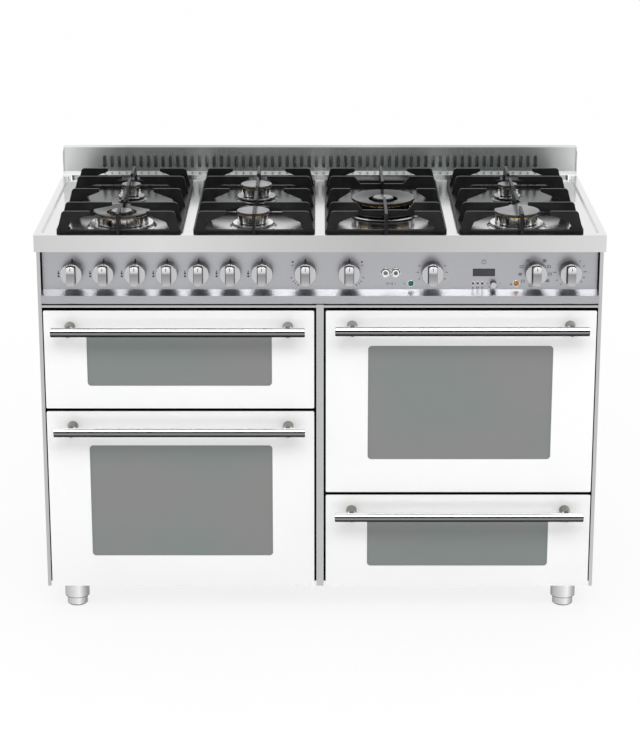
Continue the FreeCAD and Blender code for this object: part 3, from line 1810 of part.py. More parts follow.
def wok_bar_sketch(body, row, half):
    """Bar right across the wok support, dipped in the middle for the round pan."""
    sketch = front_sketch(body, row)
    corner = size.support_corner
    shoulder = half - size.support_lean
    leg = half - size.support_leg
    dip = support_top - size.wok_bar_dip
    under = dip - size.wok_bar_height
    reach = size.wok_bar_dip_reach
    slope = reach + size.wok_bar_dip_slope
    left = [
        (-half, support_rod_bottom),
        (-shoulder, support_top - corner, corner - shoulder, support_top - corner),
        (corner - shoulder, support_top),
        (-slope, support_top),
        (-reach, dip),
    ]
    right = [
        (reach, dip),
        (slope, support_top),
        (shoulder - corner, support_top, shoulder - corner, support_top - corner),
        (shoulder, support_top - corner),
        (half, support_rod_bottom),
        (leg, support_rod_bottom),
        (leg - size.finger_slope_run, under),
        (size.finger_slope_run - leg, under),
        (-leg, support_rod_bottom),
    ]
    outline(sketch, left + right)
    return sketch


def centre_plate(body, path):
    sketch = side_sketch(body)
    outline(sketch, path)
    pad(body, sketch, size.support_plate, midplane=True)


def add_burner_centre_plates(body):
    """Plates along the middle line of a support with two burners."""
    tip = support_top - size.support_tip
    knee = tip - size.finger_slope_rise
    rod = size.support_rod
    front = size.plate_front
    centre_plate(body, [
        (front, size.hob_height),
        (front, support_top),
        (size.plate_front_tip, support_top),
        (size.plate_front_tip, tip),
        (size.support_front + rod + size.plate_knee, knee),
        (size.support_front + rod, size.hob_height),
    ])
    middle = size.row_middle
    dip = support_top - size.plate_dip
    centre_plate(body, [
        (middle - size.plate_middle_reach, tip),
        (middle - size.plate_middle_reach, support_top),
        (middle - size.plate_dip_reach - size.plate_slope, support_top),
        (middle - size.plate_dip_reach, dip),
        (middle + size.plate_dip_reach, dip),
        (middle + size.plate_dip_reach + size.plate_slope, support_top),
        (middle + size.plate_middle_reach, support_top),
        (middle + size.plate_middle_reach, tip),
        (middle + rod, knee),
        (middle + rod / 2, support_rod_bottom),
        (middle - rod / 2, support_rod_bottom),
        (middle - rod, knee),
    ])
    centre_plate(body, [
        (size.plate_rear_tip, tip),
        (size.plate_rear_tip, support_top),
        (size.plate_rear_end, support_top),
        (size.support_back, support_rod_top),
        (size.support_back, support_rod_bottom),
        (size.support_back - rod, support_rod_bottom),
        (size.support_back - rod - size.plate_slope, knee),
    ])


def add_wok_centre_plates(body):
    """Plates along the middle line of the wok support, on both sides of the ring burner."""
    tip = support_top - size.support_tip
    knee = tip - size.finger_slope_rise
    rod = size.support_rod
    centre_plate(body, [
        (size.plate_front, size.hob_height),
        (size.plate_front, support_top),
        (size.wok_plate_front_tip, support_top),
        (size.wok_plate_front_tip, tip),
        (size.support_front + rod + size.plate_knee, knee),
        (size.support_front + rod, size.hob_height),
    ])
    centre_plate(body, [
        (size.wok_plate_rear_tip, tip),
        (size.wok_plate_rear_tip, support_top),
        (size.plate_rear_end, support_top),
        (size.support_back, support_rod_top),
        (size.support_back, support_rod_bottom),
        (size.support_back - rod, support_rod_bottom),
        (size.support_back - rod - size.plate_slope, knee),
    ])


def make_pan_support(label, x, half, for_wok):
    """Cast iron pan support: a low frame, rows of fingers from both sides and centre plates."""
    body = new_body(label)
    rod = size.support_rod
    frame = level_sketch(body, support_rod_bottom)
    rounded_rectangle(frame, -half, half, size.support_front, size.support_back, rod)
    rectangle(frame, rod - half, half - rod, size.support_front + rod, size.support_back - rod)
    pad(body, frame, rod)
    feet = level_sketch(body, deck)
    inset = size.support_foot_inset
    for left, right in ((-half, rod - half), (half - rod, half)):
        rectangle(feet, left, right, size.support_front + inset, size.support_front + inset + rod)
        rectangle(feet, left, right, size.support_back - inset - rod, size.support_back - inset)
    pad(body, feet, size.support_foot)
    short, long = size.short_finger_reach, size.long_finger_reach
    if for_wok:
        rows = [(ROW_FRONT, short), (size.row_middle, size.wok_finger_reach), (size.row_rear, short)]
        add_wok_centre_plates(body)
        for row in (size.row_front_burner, size.row_rear_burner):
            pad(body, wok_bar_sketch(body, row, half), size.support_plate, midplane=True)
    else:
        rows = [(ROW_FRONT, short), (size.row_front_burner, long), (size.row_middle, short),
                (size.row_rear_burner, long), (size.row_rear, short)]
        cross = level_sketch(body, support_rod_bottom)
        rectangle(cross, rod - half, half - rod, size.row_middle - rod / 2, size.row_middle + rod / 2)
        pad(body, cross, rod)
        add_burner_centre_plates(body)
    fingers = [pad(body, finger_sketch(body, row, half, reach), size.support_plate, midplane=True)
               for row, reach in rows]
    mirrored(body, fingers)
    place(body, x, hob_front, 0)
    return body


# ---------------------------------------------------------------- the cooker

nodes = [
    make_hob_top(),
    make_splashback(),
    group("side_panels", [make_side_panel("side_panel_left", -1), make_side_panel("side_panel_right", 1)]),
    make_back_panel(),
    make_base_tray(),
    make_front_frame(),
    make_control_panel(),
    make_levelling_feet(),
    make_insulation(),
    make_door_seals(),
    make_shelves(),
    make_heating_elements(),
    make_oven_fan(),
    make_fan_cover_and_motor(),
    make_gas_pipework(),
    make_gas_taps(),
    make_oven_controls(),
    make_indicator_lights(),
    make_drawer_runners(),
    make_drawer_tub(),
    make_door_panel("drawer_front", DRAWER, hinged=False),
    window_pane("drawer_pane", DRAWER, size.door_skin),
    make_handle("drawer_handle", DRAWER),
    make_timer_knob(),
]
nodes += make_burners()
for name, door in DOORS.items():
    nodes += [
        make_cavity(name, door),
        make_door_panel(f"{name}_door_panel", door, hinged=True),
        make_door_panes(name, door),
        make_door_liner(name, door),
        make_handle(f"{name}_door_handle", door),
    ]
nodes += [make_knob(name, x) for name, x in KNOBS.items()]
nodes += [make_button(name, x) for name, x in BUTTONS.items()]
nodes += [make_pan_support(name, *shape) for name, shape in SUPPORTS.items()]

doc.recompute()
for item in doc.Objects:
    if "Invalid" in item.State or "Error" in item.State:
        raise RuntimeError(f"{item.Label} ({item.Name}) failed: {item.State}")
os.makedirs("parts", exist_ok=True)
for node in nodes:
    shape = node.Shape
    if shape.isNull() or not shape.isValid():
        raise RuntimeError(f"{node.Label} has no valid shape")
    shape.exportStep(f"parts/{node.Label}.step")
    print(f"{node.Label}: {len(shape.Solids)} solids, {shape.Volume / 1000:.1f} cm3")
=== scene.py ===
import math

import bmesh
import bpy
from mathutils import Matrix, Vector


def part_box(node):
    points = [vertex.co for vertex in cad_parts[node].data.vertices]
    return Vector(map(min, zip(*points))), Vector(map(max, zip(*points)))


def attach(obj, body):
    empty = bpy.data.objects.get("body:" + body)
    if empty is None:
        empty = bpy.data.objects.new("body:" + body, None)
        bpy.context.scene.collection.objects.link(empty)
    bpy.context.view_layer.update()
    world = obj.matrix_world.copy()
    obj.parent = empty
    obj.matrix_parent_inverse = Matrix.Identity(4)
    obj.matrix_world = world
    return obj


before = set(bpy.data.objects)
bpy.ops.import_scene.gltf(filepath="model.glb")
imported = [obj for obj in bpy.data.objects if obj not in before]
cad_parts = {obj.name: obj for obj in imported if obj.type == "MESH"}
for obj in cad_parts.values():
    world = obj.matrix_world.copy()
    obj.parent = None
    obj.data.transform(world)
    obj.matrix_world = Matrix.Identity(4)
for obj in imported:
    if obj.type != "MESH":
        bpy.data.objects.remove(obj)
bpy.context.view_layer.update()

# ---------------------------------------------------------------- places on the cooker, in metres

PANEL_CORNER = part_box("control_panel")[0]
LIP_DEPTH = 0.030
LIP_EDGE = PANEL_CORNER.z + 0.0030
PANEL_FACE = PANEL_CORNER.y + LIP_DEPTH
KNOB_HEIGHT = 0.768
MARK_HEIGHT = 0.7663
BUTTON_ROW = 0.766
SMALL_ROW = 0.742
SCREEN_LOW = 0.755
HOB_HALF = 0.6
RIM_HEIGHT = 0.8595
FLANGE_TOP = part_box("burner_cups")[1].z
CAP_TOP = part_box("burner_caps")[1].z
DOOR_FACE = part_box("left_door_panel")[0].y
DOOR_SHADE_DEPTH = 0.0024
FRAME_FACE = -0.2390
BAR_BACK = -0.2962
GRIP_BACK = -0.2874
SUPPORTS = ["pan_support_left", "pan_support_middle_left", "pan_support_wok", "pan_support_right"]
HANDLES = ["grill_door_handle", "left_door_handle", "right_door_handle", "drawer_handle"]
GAS_KNOBS = [
    "left_rear", "left_front", "inner_front", "inner_rear", "wok", "right_rear", "right_front"]
FIRST_KNOB, KNOB_STEP = -0.5226, 0.06675
KNOB_X = {
    f"knob_{name}_burner": FIRST_KNOB + KNOB_STEP * index for index, name in enumerate(GAS_KNOBS)}
KNOB_X.update(knob_grill_oven=-0.0308, knob_left_oven=0.0616, knob_right_thermostat=0.2368,
              knob_right_selector=0.4548, knob_oven_light=0.5275)
BUTTON_X = {"ignition": 0.1383, "light": 0.1598}
LAMP_X = {"power": 0.192, "heat": 0.4145}
SMALL_LAMP_X = [0.3234 + 0.0098 * index for index in range(3)]
TIMER_X = 0.366

# Middle of each burner, and the radius of its head.
BURNERS = {
    "left_rear": (-0.4215, 0.070, 0.0225),
    "left_front": (-0.4215, -0.177, 0.060),
    "inner_front": (-0.142, -0.177, 0.036),
    "inner_rear": (-0.142, 0.070, 0.036),
    "wok": (0.1375, -0.0555, 0.069),
    "right_rear": (0.4186, 0.070, 0.0225),
    "right_front": (0.4186, -0.177, 0.0495),
}


# ---------------------------------------------------------------- material helpers


def rgba(tone):
    """Opaque colour from a grey value, or from red, green and blue."""
    return (*tone, 1) if isinstance(tone, tuple) else (tone, tone, tone, 1)


class Look:
    """A node material with one Principled shader and a few helpers for procedural detail.

    The frame's nodes stand at the world's origin, so at rest their object coordinates are places
    on the cooker.
    """

    def __init__(self, name, **sockets):
        self.material = bpy.data.materials.new(name)
        self.material.use_nodes = True
        self.tree = self.material.node_tree
        self.shader = self.tree.nodes["Principled BSDF"]
        for key, value in sockets.items():
            socket = key.replace("_", " ").title().replace("Ior", "IOR")
            self.shader.inputs[socket].default_value = value
        coordinates = self.tree.nodes.new("ShaderNodeTexCoord")
        self.position = coordinates.outputs["Object"]
        self.normal = coordinates.outputs["Normal"]

    def add(self, kind, **properties):
        node = self.tree.nodes.new(kind)
        for key, value in properties.items():
            setattr(node, key, value)
        return node

    def link(self, source, target):
        self.tree.links.new(source, target)

    def noise(self, scale, stretch=(1, 1, 1), detail=3.0, roughness=0.5):
        mapping = self.add("ShaderNodeMapping")
        mapping.inputs["Scale"].default_value = stretch
        self.link(self.position, mapping.inputs["Vector"])
        node = self.add("ShaderNodeTexNoise")
        node.inputs["Scale"].default_value = scale
        node.inputs["Detail"].default_value = detail
        node.inputs["Roughness"].default_value = roughness
        self.link(mapping.outputs["Vector"], node.inputs["Vector"])
        return node.outputs["Fac"]

    def ramp(self, value, stops, steps=False):
        """Tones along a value; each stop is a position and a tone."""
        node = self.add("ShaderNodeValToRGB")
        node.color_ramp.interpolation = "CONSTANT" if steps else "LINEAR"
        elements = node.color_ramp.elements
        while len(elements) < len(stops):
            elements.new(0.5)
        for element, (position, tone) in zip(elements, stops):
            element.position = position
            element.color = rgba(tone)
        self.link(value, node.inputs["Fac"])
        return node.outputs["Color"]

    def scaled(self, value, low, high, to_low, to_high):
        node = self.add("ShaderNodeMapRange")
        for key, number in (("From Min", low), ("From Max", high),
                            ("To Min", to_low), ("To Max", to_high)):
            node.inputs[key].default_value = number
        self.link(value, node.inputs["Value"])
        return node.outputs["Result"]

    def past(self, value, limit, width=0.0002):
        """0 below the limit and 1 above it, with a short soft step between."""
        return self.scaled(value, limit - width, limit + width, 0, 1)

    def under(self, value, limit, width=0.0002):
        """1 below the limit and 0 above it, with a short soft step between."""
        return self.scaled(value, limit - width, limit + width, 1, 0)

    def part(self, vector, letter):
        node = self.add("ShaderNodeSeparateXYZ")
        self.link(vector, node.inputs["Vector"])
        return node.outputs[letter]

    def axis(self, letter):
        """Place of the surface along an axis."""
        return self.part(self.position, letter)

    def faces(self, letter, low, high):
        """0 to 1 as the surface turns towards an axis, from a cosine of low to one of high."""
        size = self.add("ShaderNodeMath", operation="ABSOLUTE")
        self.link(self.part(self.normal, letter), size.inputs[0])
        return self.scaled(size.outputs[0], low, high, 0, 1)

    def turned(self, letter):
        """0 to 1 as the surface turns from facing against an axis to facing along it."""
        return self.scaled(self.part(self.normal, letter), -1, 1, 0, 1)

    def reach(self, x, y=None, z=None):
        """Distance of the surface from an upright axis at x and y, or a level one at x and z."""
        flat = self.add("ShaderNodeVectorMath", operation="MULTIPLY_ADD")
        self.link(self.position, flat.inputs[0])
        flat.inputs[1].default_value = (1, 1, 0) if z is None else (1, 0, 1)
        flat.inputs[2].default_value = (-x, -y, 0) if z is None else (-x, 0, -z)
        length = self.add("ShaderNodeVectorMath", operation="LENGTH")
        self.link(flat.outputs[0], length.inputs[0])
        return length.outputs["Value"]

    def mix(self, factor, first, second, **properties):
        """Blend of two tones or outputs; the factor is a number or an output."""
        node = self.add("ShaderNodeMix", data_type="RGBA", **properties)
        if isinstance(factor, float):
            node.inputs["Factor"].default_value = factor
        else:
            self.link(factor, node.inputs["Factor"])
        for socket, value in ((node.inputs[6], first), (node.inputs[7], second)):
            if isinstance(value, (float, tuple)):
                socket.default_value = rgba(value)
            else:
                self.link(value, socket)
        return node.outputs[2]

    def combine(self, operation, first, second):
        """Result of a math node on two outputs."""
        node = self.add("ShaderNodeMath", operation=operation)
        self.link(first, node.inputs[0])
        self.link(second, node.inputs[1])
        return node.outputs[0]

    def plain(self):
        """The output that colours the surface so far."""
        return self.shader.inputs["Base Color"].links[0].from_socket

    def colour(self, output):
        self.link(output, self.shader.inputs["Base Color"])

    def mottle(self, scale, dark, light, low=0.3, high=0.7):
        """Colour that drifts between two tones."""
        self.colour(self.ramp(self.noise(scale), [(low, dark), (high, light)]))

    def roughness(self, value, low, high):
        self.link(self.scaled(value, 0.3, 0.7, low, high), self.shader.inputs["Roughness"])

    def bump(self, value, distance, strength=1.0, bevel=0.0):
        node = self.add("ShaderNodeBump")
        node.inputs["Distance"].default_value = distance
        node.inputs["Strength"].default_value = strength
        self.link(value, node.inputs["Height"])
        if bevel:
            rounding = self.add("ShaderNodeBevel", samples=4)
            rounding.inputs["Radius"].default_value = bevel
            self.link(rounding.outputs["Normal"], node.inputs["Normal"])
        self.link(node.outputs["Normal"], self.shader.inputs["Normal"])

    def on(self, *names):
        for name in names:
            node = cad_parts[name]
            node.data.materials.clear()
            node.data.materials.append(self.material)
        return self


def along_hob(look):
    """0 to 1 from the left end of the hob to its right end."""
    return look.scaled(look.axis("X"), -HOB_HALF, HOB_HALF, 0, 1)


def from_burner(look, name):
    """Distance from the upright axis of a burner."""
    return look.reach(*BURNERS[name][:2])


def brushed(name, tone, along=(1, 60, 60), low=0.26, high=0.42, depth=0.00004,
            tint=(1.0, 1.0, 1.0)):
    """Brushed steel: fine lines along one axis, and slow cloudy changes of tone."""
    look = Look(name, metallic=1.0)
    lines = look.noise(26, along, 4, 0.65)
    clouds = look.noise(2.2, detail=2)
    dark = tuple(tone * 0.93 * part for part in tint)
    light = tuple(tone * 1.05 * part for part in tint)
    deep = tuple(part * 0.97 for part in dark)
    fine = look.ramp(lines, [(0.35, dark), (0.65, light)])
    broad = look.ramp(clouds, [(0.3, deep), (0.7, light)])
    look.colour(look.mix(0.5, fine, broad))
    look.roughness(lines, low, high)
    look.bump(lines, depth, 0.5)
    return look


def enamel(name, colour, roughness=0.28, coat=0.4, speck=None):
    """Baked enamel: a faint orange peel, and specks where it is oven enamel."""
    look = Look(name, coat_weight=coat, coat_roughness=0.12)
    fine = look.noise(900)
    if speck:
        look.colour(look.ramp(fine, [(0.60, colour), (0.70, speck)]))
    else:
        look.mottle(3.0, tuple(part * 0.975 for part in colour), colour)
    look.roughness(fine, roughness * 0.9, roughness * 1.1)
    look.bump(look.noise(180, detail=2), 0.00003, 0.35)
    return look


# ---------------------------------------------------------------- hob and splashback

SUPPORT_MARGIN = 0.012
hob = brushed("hob_steel", 0.80, low=0.10, high=0.20, depth=0.000004)
# Painted shade and painted dark reflection on the deck beneath each pan support, stronger towards
# the rear, only below the rim.
windows = [(0.0, 0)]
for name in SUPPORTS:
    left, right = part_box(name)[0].x + SUPPORT_MARGIN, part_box(name)[1].x - SUPPORT_MARGIN
    windows += [((left + HOB_HALF) / (2 * HOB_HALF), 1), ((right + HOB_HALF) / (2 * HOB_HALF), 0)]
beneath = hob.ramp(along_hob(hob), windows, steps=True)
rearward = hob.scaled(hob.axis("Y"), -0.26, 0.02, 0.15, 1)
below_rim = hob.under(hob.axis("Z"), RIM_HEIGHT)
painted_shade_under_supports = hob.combine("MULTIPLY", hob.combine("MULTIPLY", beneath, rearward), below_rim)
top_tone = hob.mix(painted_shade_under_supports, hob.plain(), (0.26, 0.26, 0.265))
# Painted reflection: faces turned to the front or back are darker than the deck, in bands along the
# hob.
edge_painted_reflection = hob.ramp(along_hob(hob), [
    (0.0, 0.62), (0.22, 0.72), (0.42, (0.60, 0.59, 0.59)), (0.60, (0.52, 0.51, 0.51)),
    (0.80, 0.60), (1.0, 0.70)])
hob.colour(hob.mix(hob.faces("Y", 0.6, 0.9), top_tone, edge_painted_reflection))
hob.on("hob_top")

splash = brushed("splashback_steel", 0.50, along=(1, 90, 90), low=0.30, high=0.38, depth=0.000004,
                 tint=(0.95, 1.0, 0.985))
# Painted reflection bands along the splashback, with painted highlights at both ends.
splash_painted_reflection = splash.ramp(along_hob(splash), [
    (0.0, 1.0), (0.07, 0.80), (0.13, (0.42, 0.43, 0.43)), (0.25, (0.46, 0.47, 0.47)),
    (0.50, (0.50, 0.52, 0.51)), (0.60, (0.62, 0.64, 0.63)), (0.66, (0.46, 0.48, 0.47)),
    (0.88, (0.40, 0.42, 0.41)), (0.93, (0.60, 0.61, 0.61)), (1.0, 0.92)])
splash.colour(splash.mix(0.6, splash.plain(), splash_painted_reflection))
splash.on("splashback")

# ---------------------------------------------------------------- body, panel and inner metal

brushed("side_steel", 0.56, along=(60, 60, 1)).on("side_panels")
frame_look = brushed("frame_steel", 0.56, along=(60, 60, 1))
# Painted shade: the frame behind its front face, and its faces turned up or down, are near black,
# as shade in the gaps between the doors.
painted_shade_behind = frame_look.past(frame_look.axis("Y"), FRAME_FACE)
front_with_painted_light = frame_look.mix(frame_look.faces("Z", 0.6, 0.8), frame_look.plain(), 0.006)
frame_look.colour(frame_look.mix(painted_shade_behind, front_with_painted_light, 0.006))
frame_look.on("front_frame")
panel = brushed("panel_steel", 0.46, low=0.26, high=0.36, depth=0.00001, tint=(0.985, 0.99, 1.04))
# Painted highlight: faces turned up or down, such as the ledge, are lighter.
panel.colour(panel.mix(panel.faces("Z", 0.6, 0.8), panel.plain(), (0.76, 0.77, 0.79)))
# Painted shade: below the lip's edge the panel is near black.
panel.colour(panel.mix(panel.past(panel.axis("Z"), LIP_EDGE), 0.008, panel.plain()))
panel.on("control_panel")
brushed("runner_steel", 0.60, along=(60, 1, 60)).on("drawer_runners")
brushed("fan_steel", 0.50, along=(1, 1, 1)).on("oven_fan")
brushed("shelf_wire", 0.62, low=0.14, high=0.24).on("oven_shelves")
brushed("pipe_metal", 0.62, low=0.3, high=0.4).on("gas_pipework")
brushed("tap_brass", 0.66, along=(1, 1, 60), tint=(1.0, 0.80, 0.46)).on("gas_taps")
brushed("element_steel", 0.16, along=(1, 1, 1), low=0.35, high=0.5,
        tint=(1.0, 0.97, 0.93)).on("heating_elements")

zinc = Look("zinc_sheet", metallic=0.9)
flakes = zinc.add("ShaderNodeTexVoronoi", feature="F1")
flakes.inputs["Scale"].default_value = 55
zinc.link(zinc.position, flakes.inputs["Vector"])
zinc.colour(zinc.ramp(flakes.outputs["Color"],
                      [(0.1, (0.42, 0.43, 0.44)), (0.9, (0.56, 0.57, 0.58))]))
zinc.roughness(flakes.outputs["Distance"], 0.42, 0.55)
zinc.bump(zinc.noise(400), 0.00002, 0.4)
zinc.on("back_panel", "base_tray")

foot = Look("foot_steel", metallic=1.0)
turned = foot.noise(60, (1, 1, 30))
# Painted highlight and shade across the turned foot, set by which way the surface faces along X.
foot_painted_light = foot.ramp(foot.turned("X"), [
    (0.00, 0.22), (0.08, 0.50), (0.40, 0.74), (0.64, 0.97), (0.80, 0.58), (0.96, 0.30)])
grain = foot.ramp(turned, [(0.3, 0.90), (0.7, 1.0)])
# Dark line at the joint of collar and foot, and darker at the bottom and top ends.
dark_lines = foot.ramp(foot.scaled(foot.axis("Z"), 0, 0.060, 0, 1), [
    (0.0, 0), (0.035, 0), (0.06, 1), (0.31, 1), (0.325, 0),
    (0.345, 0), (0.36, 1), (0.97, 1), (1.0, 0.35)])
foot.colour(foot.mix(dark_lines, 0.05, foot.mix(1.0, foot_painted_light, grain, blend_type="MULTIPLY")))
foot.roughness(turned, 0.16, 0.26)
foot.bump(turned, 0.000005, 0.3)
foot.on("levelling_feet")

# ---------------------------------------------------------------- enamel and glass

doors = enamel("door_enamel", (0.905, 0.907, 0.905), 0.22, 0.5)
# Painted shade: the door more than 2.4 mm behind its front face, such as its edges in the gaps, is
# near black.
doors.colour(doors.mix(doors.past(doors.axis("Y"), DOOR_FACE + DOOR_SHADE_DEPTH), doors.plain(), 0.010))
doors.on("grill_door_panel", "left_door_panel", "right_door_panel", "drawer_front")
enamel("oven_enamel", (0.016, 0.019, 0.026), 0.25, 0.3, speck=(0.10, 0.12, 0.15)).on(
    "grill_oven_cavity", "left_oven_cavity", "right_oven_cavity", "fan_cover_and_motor",
    "grill_door_liner", "left_door_liner", "right_door_liner")
enamel("tub_enamel", (0.30, 0.305, 0.31), 0.4, 0.1).on("drawer_tub")

glass = Look("pane_glass", coat_weight=0.3, coat_roughness=0.02, alpha=0.93, roughness=0.08)
drift = glass.noise(3.0, (1, 1, 1.6), 1.0)
glass.colour(glass.ramp(drift, [(0.38, (0.222, 0.222, 0.220)), (0.62, (0.198, 0.228, 0.214))]))
glass.bump(glass.noise(5, detail=1), 0.0001, 0.2)
glass.on("grill_door_panes", "left_door_panes", "right_door_panes", "drawer_pane")

# ---------------------------------------------------------------- burners and pan supports

cup = brushed("cup_steel", 0.80, along=(1, 1, 1), low=0.10, high=0.18, depth=0.000005)
# Painted shade: faces turned up are dark, and the wok burner's cup is near black.
rings = cup.mix(cup.faces("Z", 0.80, 0.95), 0.13, cup.plain())
cup.colour(cup.mix(cup.past(from_burner(cup, "wok"), 0.085), 0.03, rings))
cup.on("burner_cups")

cap = Look("cap_enamel", coat_weight=0.10, coat_roughness=0.10)
black = cap.ramp(cap.noise(30), [(0.3, (0.008, 0.008, 0.009)), (0.7, (0.014, 0.014, 0.015))])
# Painted reflection: flat cap tops are mid grey and the sides near black; the ring caps of the wok
# and triple burners keep near black tops.
flat = cap.ramp(cap.noise(14, detail=1), [(0.35, (0.10, 0.10, 0.105)), (0.65, (0.22, 0.22, 0.225))])
for name in ("wok", "left_front"):
    away = from_burner(cap, name)
    ring = cap.combine("MULTIPLY", cap.past(away, 0.0235), cap.under(away, 0.0751, 0.0001))
    flat = cap.mix(ring, flat, (0.012, 0.012, 0.013))
cap.colour(cap.mix(cap.faces("Z", 0.97, 0.995), black, flat))
shine = cap.ramp(from_burner(cap, "wok"), [
    (0.0, 0.36), (0.023, 0.36), (0.024, 0.10), (0.058, 0.16), (0.071, 0.40)])
cap.link(shine, cap.shader.inputs["Specular IOR Level"])
cap.roughness(cap.noise(200), 0.16, 0.24)
cap.bump(cap.noise(180), 0.00001, 0.3)
cap.on("burner_caps")

head = Look("head_metal", metallic=1.0)
# Painted highlights, with dark vertical streaks, on the steel of the heads.
streaks = head.noise(150, (1, 1, 0.01), 3, 0.6)
steel_tone = head.ramp(streaks, [
    (0.36, 0.03), (0.46, 0.35), (0.52, (0.86, 0.86, 0.85)), (0.62, (0.55, 0.55, 0.54))])
brass_tone = head.ramp(head.noise(110, (1, 1, 0.3)), [
    (0.36, (0.20, 0.12, 0.03)), (0.50, (0.62, 0.44, 0.16)), (0.64, (0.86, 0.70, 0.36))])
crown = head.past(head.axis("Z"), CAP_TOP - 0.0092, 0.0005)
# Painted shadow line at the foot of each head, just above the flange.
above_painted_shadow = head.past(head.axis("Z"), FLANGE_TOP + 0.0022, 0.0008)
# Painted shade on the wok burner's head, near black under its wide cap.
wok = head.under(from_burner(head, "wok"), 0.0851, 0.0001)
body_tone = head.mix(wok, head.mix(above_painted_shadow, 0.035, steel_tone), 0.02)
head.colour(head.mix(crown, body_tone, brass_tone))
head.roughness(head.noise(200), 0.16, 0.26)
head.bump(head.noise(500), 0.00001, 0.3)
head.on("burner_heads")

iron = Look("support_iron", coat_weight=0.04, coat_roughness=0.3, specular_ior_level=0.22)
grit = iron.noise(700, detail=4, roughness=0.6)
iron.mottle(60, (0.004, 0.004, 0.005), (0.009, 0.009, 0.010), low=0.35, high=0.65)
iron.roughness(grit, 0.30, 0.46)
iron.bump(grit, 0.00010, 0.5, bevel=0.0010)
iron.on(*SUPPORTS)

# ---------------------------------------------------------------- handles, knobs and buttons

# Painted reflections on the chrome bars: dark, grey and white bands from bottom to top.
BAR_REFLECTION_STOPS = [
    (0.00, 0.006), (0.345, 0.008), (0.365, 0.12), (0.560, 0.34), (0.580, 0.006),
    (0.715, 0.006), (0.735, 0.97), (0.930, 0.97), (0.948, 0.12)]
for name in HANDLES:
    chrome = Look(f"{name}_chrome", metallic=1.0)
    bar_low, bar_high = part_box(name)[0].z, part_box(name)[1].z
    painted_bar_reflections = chrome.ramp(chrome.scaled(chrome.axis("Z"), bar_low, bar_high, 0, 1), BAR_REFLECTION_STOPS)
    # Painted highlight and shade on the posts: darker where they face down, lighter where they face
    # up.
    post_painted_light = chrome.ramp(chrome.turned("Z"), [
        (0.40, 0.01), (0.70, (0.05, 0.05, 0.04)), (0.85, (0.13, 0.125, 0.10)),
        (0.97, (0.24, 0.23, 0.20))])
    chrome.colour(chrome.mix(chrome.past(chrome.axis("Y"), BAR_BACK), painted_bar_reflections, post_painted_light))
    chrome.roughness(chrome.noise(60, (1, 40, 40)), 0.12, 0.16)
    chrome.bump(chrome.noise(30, (1, 60, 60)), 0.000001, 0.2)
    chrome.on(name)

knob = Look("knob_chrome", metallic=1.0)
satin = knob.noise(70, (50, 1, 1), 3)
knob_rise = knob.scaled(knob.axis("Z"), KNOB_HEIGHT - 0.021, KNOB_HEIGHT + 0.021, 0, 1)
face_tone = knob.ramp(satin, [(0.3, (0.50, 0.50, 0.51)), (0.7, (0.61, 0.61, 0.62))])
# Painted highlight and shade down the grip: light at top and bottom, dark in the middle.
grip_painted_light = knob.ramp(knob_rise, [
    (0.0, (0.56, 0.56, 0.57)), (0.30, (0.38, 0.38, 0.39)), (0.62, (0.28, 0.28, 0.29)),
    (0.74, (0.66, 0.66, 0.67)), (1.0, (0.90, 0.90, 0.91))])
front_with_painted_light = knob.mix(knob.past(knob.axis("Y"), GRIP_BACK), grip_painted_light, face_tone)
# Painted dark reflection and shade on the knob's sides, with streaks of painted highlight.
side_painted_light = knob.ramp(knob.noise(38, (1, 0.2, 1), 2), [
    (0.40, (0.03, 0.03, 0.032)), (0.52, (0.10, 0.10, 0.105)), (0.62, (0.34, 0.34, 0.35))])
knob.colour(knob.mix(knob.faces("Y", 0.35, 0.75), side_painted_light, front_with_painted_light))
knob.roughness(satin, 0.15, 0.26)
knob.bump(satin, 0.000005, 0.3, bevel=0.0006)
knob.on(*KNOB_X, "timer_knob")

for name, x in BUTTON_X.items():
    button = Look(f"{name}_button_chrome", metallic=1.0)
    outward = button.scaled(button.reach(x, z=BUTTON_ROW), 0, 0.0085, 0, 1)
    # Painted highlight: a bright ring round the button's face, with painted shade inside it and at
    # the rim.
    button.colour(button.ramp(outward, [
        (0.0, (0.30, 0.30, 0.31)), (0.46, (0.16, 0.16, 0.17)), (0.56, 0.97), (0.86, 0.97),
        (0.97, 0.20)]))
    button.roughness(button.noise(200), 0.12, 0.22)
    button.bump(button.noise(400), 0.000005, 0.3)
    button.on(f"{name}_button")

# ---------------------------------------------------------------- rubber, plastic, wool and lamps

rubber = Look("seal_rubber")
rubber.mottle(300, 0.012, 0.022)
rubber.roughness(rubber.noise(200), 0.55, 0.7)
rubber.bump(rubber.noise(600), 0.00004, 0.5)
rubber.on("door_seals")

plastic = Look("switch_plastic")
plastic.mottle(30, (0.020, 0.020, 0.022), (0.034, 0.034, 0.037))
plastic.roughness(plastic.noise(500), 0.38, 0.5)
plastic.bump(plastic.noise(900), 0.00003, 0.5)
plastic.on("oven_controls")

wool = Look("insulation_wool")
fibres = wool.noise(350, (1, 6, 6), 6, 0.7)
wool.colour(wool.ramp(fibres, [(0.3, (0.34, 0.28, 0.14)), (0.7, (0.62, 0.55, 0.36))]))
wool.roughness(fibres, 0.85, 1.0)
wool.bump(fibres, 0.002, 0.8)
wool.on("oven_insulation")

